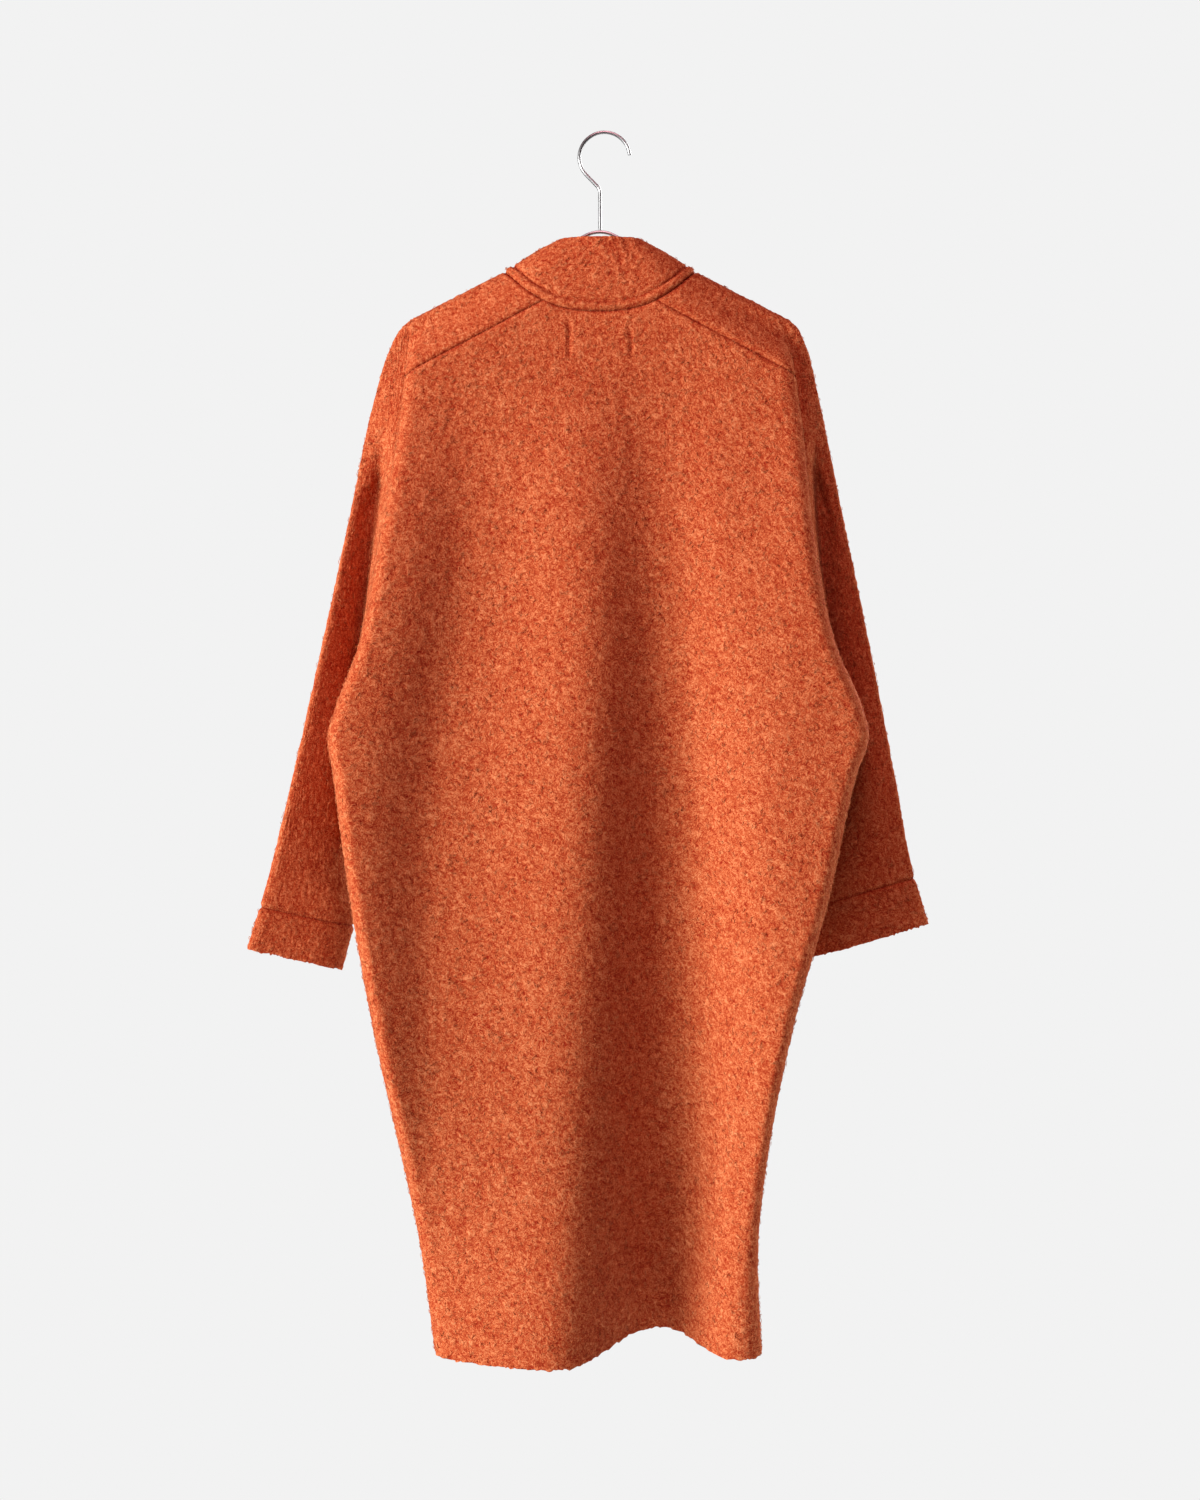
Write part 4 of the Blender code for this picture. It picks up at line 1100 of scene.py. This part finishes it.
class CoatPile(bpy.types.PropertyGroup):
    """The curls of wool on the cloth"""

    density: IntProperty(
        name="Density", description="Curls on a square metre of cloth", default=16000
    )
    length: FloatProperty(
        name="Length", description="Length of a curl", default=0.0055, unit="LENGTH"
    )
    thickness: FloatProperty(
        name="Thickness", description="Half a curl's thickness", default=0.00026, unit="LENGTH"
    )
    rise: FloatProperty(
        name="Rise", description="How far a curl stands up", default=0.0010, unit="LENGTH"
    )


class CoatSewing(bpy.types.PropertyGroup):
    """The welt and the tacking lines"""

    welt_width: FloatProperty(
        name="Welt width", description="Width of the raised seam", default=0.009, unit="LENGTH"
    )
    welt_height: FloatProperty(
        name="Welt height", description="Height of the raised seam", default=0.0014, unit="LENGTH"
    )
    tack_x: FloatProperty(
        name="Tacking", description="Distance of the tacking lines from the middle",
        default=0.0305, unit="LENGTH"
    )


class CoatHanger(bpy.types.PropertyGroup):
    """The hanger's wire"""

    steel_colour: FloatVectorProperty(
        name="Steel", description="Colour of the wire", subtype="COLOR", default=(0.34, 0.34, 0.34)
    )


class CoatStage(bpy.types.PropertyGroup):
    """The view, the floor and the lights"""

    camera_distance: FloatProperty(
        name="Camera distance", description="From the camera to the hanger", default=2.6, unit="LENGTH"
    )
    view_height: FloatProperty(
        name="View height", description="Height of the view at the hanger", default=1.5, unit="LENGTH"
    )
    view_drop: FloatProperty(
        name="View drop", description="The view's middle below the hook", default=0.616, unit="LENGTH"
    )
    floor_drop: FloatProperty(
        name="Floor drop", description="The floor's depth below the hook", default=1.9, unit="LENGTH"
    )
    backdrop: FloatProperty(
        name="Backdrop", description="Brightness behind the coat", default=0.888
    )
    ambient: FloatProperty(
        name="Ambient", description="Strength of the light from all round", default=0.085
    )
    key_power: FloatProperty(
        name="Key", description="Power of the main light", default=390.0, unit="POWER"
    )
    overhead_power: FloatProperty(
        name="Overhead", description="Power of the weak light from above", default=44.0, unit="POWER"
    )
    overhead_colour: FloatVectorProperty(
        name="Overhead colour", description="Warm colour of the light from above", subtype="COLOR",
        default=(1.0, 0.48, 0.55)
    )
    bounce_power: FloatProperty(
        name="Bounce", description="Power of the light from beside the coat", default=30.0, unit="POWER"
    )
    fill_power: FloatProperty(
        name="Fill", description="Power of the light on the fronts", default=80.0, unit="POWER"
    )


# Operators


class COAT_OT_back(bpy.types.Operator):
    """Back panel with its long folds and tacking lines"""

    bl_idname = "coat.back"
    bl_label = "Back"

    def execute(self, context):
        cloth = context.scene.coat_cloth
        across = np.linspace(-1, 1, steps_for(BACK_WIDTH, cloth.spacing) + 1)
        rows = steps_for(BACK_LENGTH, cloth.spacing)
        upper = round(rows * (UNDERARM_DROP - YOKE_END_DROP) / (HEM_DROP - YOKE_END_DROP))
        stations = runs((TOP_STATION, UNDERARM_STATION, HEM_STATION), (upper, rows - upper))
        points = back_points(across, stations)
        shell = make_shell(points, ("top",), relief=back_relief, ragged=True)
        dress("back", points, shell, cloth.wall)
        return {"FINISHED"}


class COAT_OT_fronts(bpy.types.Operator):
    """Front panels, which reach over the shoulders to the yoke seams"""

    bl_idname = "coat.fronts"
    bl_label = "Fronts"

    def execute(self, context):
        cloth = context.scene.coat_cloth
        shares = np.linspace(0, 1, steps_for(FRONT_WIDTH, cloth.spacing) + 1)
        yoke = steps_for(YOKE_LENGTH, cloth.spacing)
        rest = steps_for(FRONT_LENGTH, cloth.plain_spacing)
        upper = rest // 2
        breaks = (YOKE_STATION, RIDGE_START, RIDGE_STATION, TOP_STATION, UNDERARM_STATION, HEM_STATION)
        stations = runs(breaks, (yoke, INSIDE_STEP, INSIDE_STEP, upper, rest - upper))
        for side in SIDE_SIGN:
            points = front_points(side, shares, stations)
            shell = make_shell(points, ("top", "last"), turned=side == "left")
            dress(f"front_{side}", points, shell, cloth.wall, FRONT_CURLS)
        return {"FINISHED"}


class COAT_OT_sleeves(bpy.types.Operator):
    """Sleeves and their turned cuffs"""

    bl_idname = "coat.sleeves"
    bl_label = "Sleeves and cuffs"

    def execute(self, context):
        cloth = context.scene.coat_cloth
        back = runs((UNDERARM_STATION, TOP_STATION), (ARMHOLE_STEPS,))
        breaks = (YOKE_STATION, -RIDGE_TURN, RIDGE_STATION, TOP_STATION, UNDERARM_STATION)
        # The back's edge already holds the two ends of the front's part of the loop
        front = runs(breaks, (*SHOULDER_STEPS, ARMHOLE_STEPS))[1:-1]
        rings = runs((0.0, SLEEVE_FOLD_REACH, 1.0), SLEEVE_RINGS)
        cuff_rings = runs((1.0, CUFF_END), (CUFF_RINGS,))
        for side in SIDE_SIGN:
            loop, facing = armhole_loop(side, back, front)
            turned = side == "left"
            points = sleeve_points(side, loop, facing, rings)
            shell = make_shell(points, ("bottom",), turned=turned, closed=True)
            dress(f"sleeve_{side}", points, shell, cloth.wall)
            points = sleeve_points(side, loop, facing, cuff_rings)
            shell = make_shell(points, ("top",), turned=turned, closed=True, ragged=True)
            dress(f"cuff_{side}", points, shell, cloth.cuff_wall)
        return {"FINISHED"}


class COAT_OT_collar(bpy.types.Operator):
    """Stand collar with its welt, and the front bands that carry on from it"""

    bl_idname = "coat.collar"
    bl_label = "Collar and bands"

    def execute(self, context):
        cloth = context.scene.coat_cloth
        neck = np.linspace(-neck_share("left"), neck_share("right"), NECK_STEPS + 1)
        over = runs((YOKE_STATION, RIDGE_STATION, TOP_STATION), NECK_SIDE_STEPS)[1:]
        lines = [side_line("left", over[::-1]), neck_line(neck), side_line("right", over)]
        points = strip_points(lines, np.linspace(0, 1, COLLAR_STEPS + 1))
        shell = make_shell(points, ("first",), relief=welt_relief)
        dress("collar", points, shell, cloth.wall)
        shares = np.linspace(0, 1, BAND_STEPS + 1)
        down = runs((TOP_STATION, UNDERARM_STATION, HEM_STATION), BAND_ROWS)
        for side in SIDE_SIGN:
            stations = down[::-1] if side == "left" else down
            points = strip_points([side_line(side, stations)], shares)
            shell = make_shell(points, ("first",), relief=welt_relief)
            dress(f"band_{side}", points, shell, cloth.wall, FRONT_CURLS)
        return {"FINISHED"}


class COAT_OT_hanger(bpy.types.Operator):
    """Satin finish on the hanger's wire"""

    bl_idname = "coat.hanger"
    bl_label = "Hanger"

    def execute(self, context):
        for node in ("hanger_arms", "hanger_hook"):
            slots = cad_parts[node].data.materials
            slots.clear()
            slots.append(steel_finish())
        return {"FINISHED"}


class COAT_OT_stage(bpy.types.Operator):
    """Camera, pale floor and soft studio light"""

    bl_idname = "coat.stage"
    bl_label = "Stage"

    def execute(self, context):
        stage = context.scene.coat_stage
        middle = Vector((-HOOK_OFFSET, 0, -stage.view_drop))
        self.add_camera(context.scene, stage, middle)
        self.add_floor(context.scene, stage)
        self.add_light("key", KEY_LAMP, middle, stage.key_power)
        self.add_light("overhead", OVERHEAD_LAMP, middle, stage.overhead_power, stage.overhead_colour)
        self.add_light("bounce", BOUNCE_LAMP, middle, stage.bounce_power)
        self.add_light("front_fill", FILL_LAMP, middle, stage.fill_power)
        self.set_world(context.scene, stage)
        return {"FINISHED"}

    def add_camera(self, scene, stage, middle):
        """The photo's view, straight at the coat's back."""
        lens = bpy.data.cameras.new("photo_view")
        lens.sensor_width = 36.0
        lens.lens = lens.sensor_width * stage.camera_distance / stage.view_height
        camera = bpy.data.objects.new("photo_view", lens)
        camera.location = middle - Vector((0, stage.camera_distance, 0))
        camera.rotation_euler = (math.pi / 2, 0, 0)
        scene.collection.objects.link(camera)
        scene.camera = camera
        scene.view_settings.view_transform = "Standard"

    def add_floor(self, scene, stage):
        """A pale floor that stays below the photo's view."""
        corners = ((-1, -1), (1, -1), (1, 1), (-1, 1))
        places = [(x * FLOOR_HALF, y * FLOOR_HALF, -stage.floor_drop) for x, y in corners]
        data = bpy.data.meshes.new("floor")
        data.from_pydata(places, [], [(0, 1, 2, 3)])
        data.materials.append(pale_finish())
        floor = bpy.data.objects.new("floor", data)
        scene.collection.objects.link(floor)

    def add_light(self, name, lamp, target, power, colour=(1, 1, 1)):
        """A round soft light that faces the coat."""
        data = bpy.data.lights.new(name, "AREA")
        data.color = colour
        data.shape = "DISK"
        data.size = lamp.size
        data.energy = power
        made = bpy.data.objects.new(name, data)
        made.location = lamp.place
        made.rotation_euler = (target - Vector(lamp.place)).to_track_quat("-Z", "Y").to_euler()
        bpy.context.scene.collection.objects.link(made)

    def set_world(self, scene, stage):
        """A pale backdrop for the eye, and a softer light from all round."""
        world = bpy.data.worlds.new("studio")
        scene.world = world
        world.use_nodes = True
        tree = world.node_tree
        seen = tree.nodes["Background"]
        seen.inputs["Color"].default_value = (1, 1, 1, 1)
        seen.inputs["Strength"].default_value = stage.backdrop
        around = tree.nodes.new("ShaderNodeBackground")
        around.inputs["Color"].default_value = (1, 1, 1, 1)
        around.inputs["Strength"].default_value = stage.ambient
        path = tree.nodes.new("ShaderNodeLightPath")
        mix = tree.nodes.new("ShaderNodeMixShader")
        tree.links.new(path.outputs["Is Camera Ray"], mix.inputs["Fac"])
        tree.links.new(around.outputs["Background"], mix.inputs[1])
        tree.links.new(seen.outputs["Background"], mix.inputs[2])
        tree.links.new(mix.outputs["Shader"], tree.nodes["World Output"].inputs["Surface"])


class COAT_PT_panel(bpy.types.Panel):
    """Lists the coat's pieces and settings"""

    bl_idname = "COAT_PT_panel"
    bl_label = "Knit coat"
    bl_space_type = "VIEW_3D"
    bl_region_type = "UI"
    bl_category = "Knit coat"

    def draw(self, context):
        for operator in OPERATORS:
            self.layout.operator(operator.bl_idname)
        for name in SETTINGS:
            settings = getattr(context.scene, name)
            for field in settings.bl_rna.properties.keys():
                if field not in ("rna_type", "name"):
                    self.layout.prop(settings, field)


OPERATORS = (COAT_OT_stage, COAT_OT_hanger, COAT_OT_back, COAT_OT_fronts, COAT_OT_sleeves, COAT_OT_collar)
SETTINGS = {
    "coat_cloth": CoatCloth,
    "coat_pile": CoatPile,
    "coat_sewing": CoatSewing,
    "coat_hanger": CoatHanger,
    "coat_stage": CoatStage,
}
CLASSES = (*SETTINGS.values(), *OPERATORS, COAT_PT_panel)


def register():
    """Adds the settings, the operators and the panel."""
    for made in CLASSES:
        bpy.utils.register_class(made)
    for name, group in SETTINGS.items():
        setattr(bpy.types.Scene, name, PointerProperty(type=group))


def unregister():
    """Takes the panel, the operators and the settings away again."""
    for name in SETTINGS:
        delattr(bpy.types.Scene, name)
    for made in reversed(CLASSES):
        bpy.utils.unregister_class(made)


def main():
    """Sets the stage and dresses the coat."""
    register()
    bpy.ops.coat.stage()
    bpy.ops.coat.hanger()
    bpy.ops.coat.back()
    bpy.ops.coat.fronts()
    bpy.ops.coat.sleeves()
    bpy.ops.coat.collar()


if __name__ == "__main__":
    main()
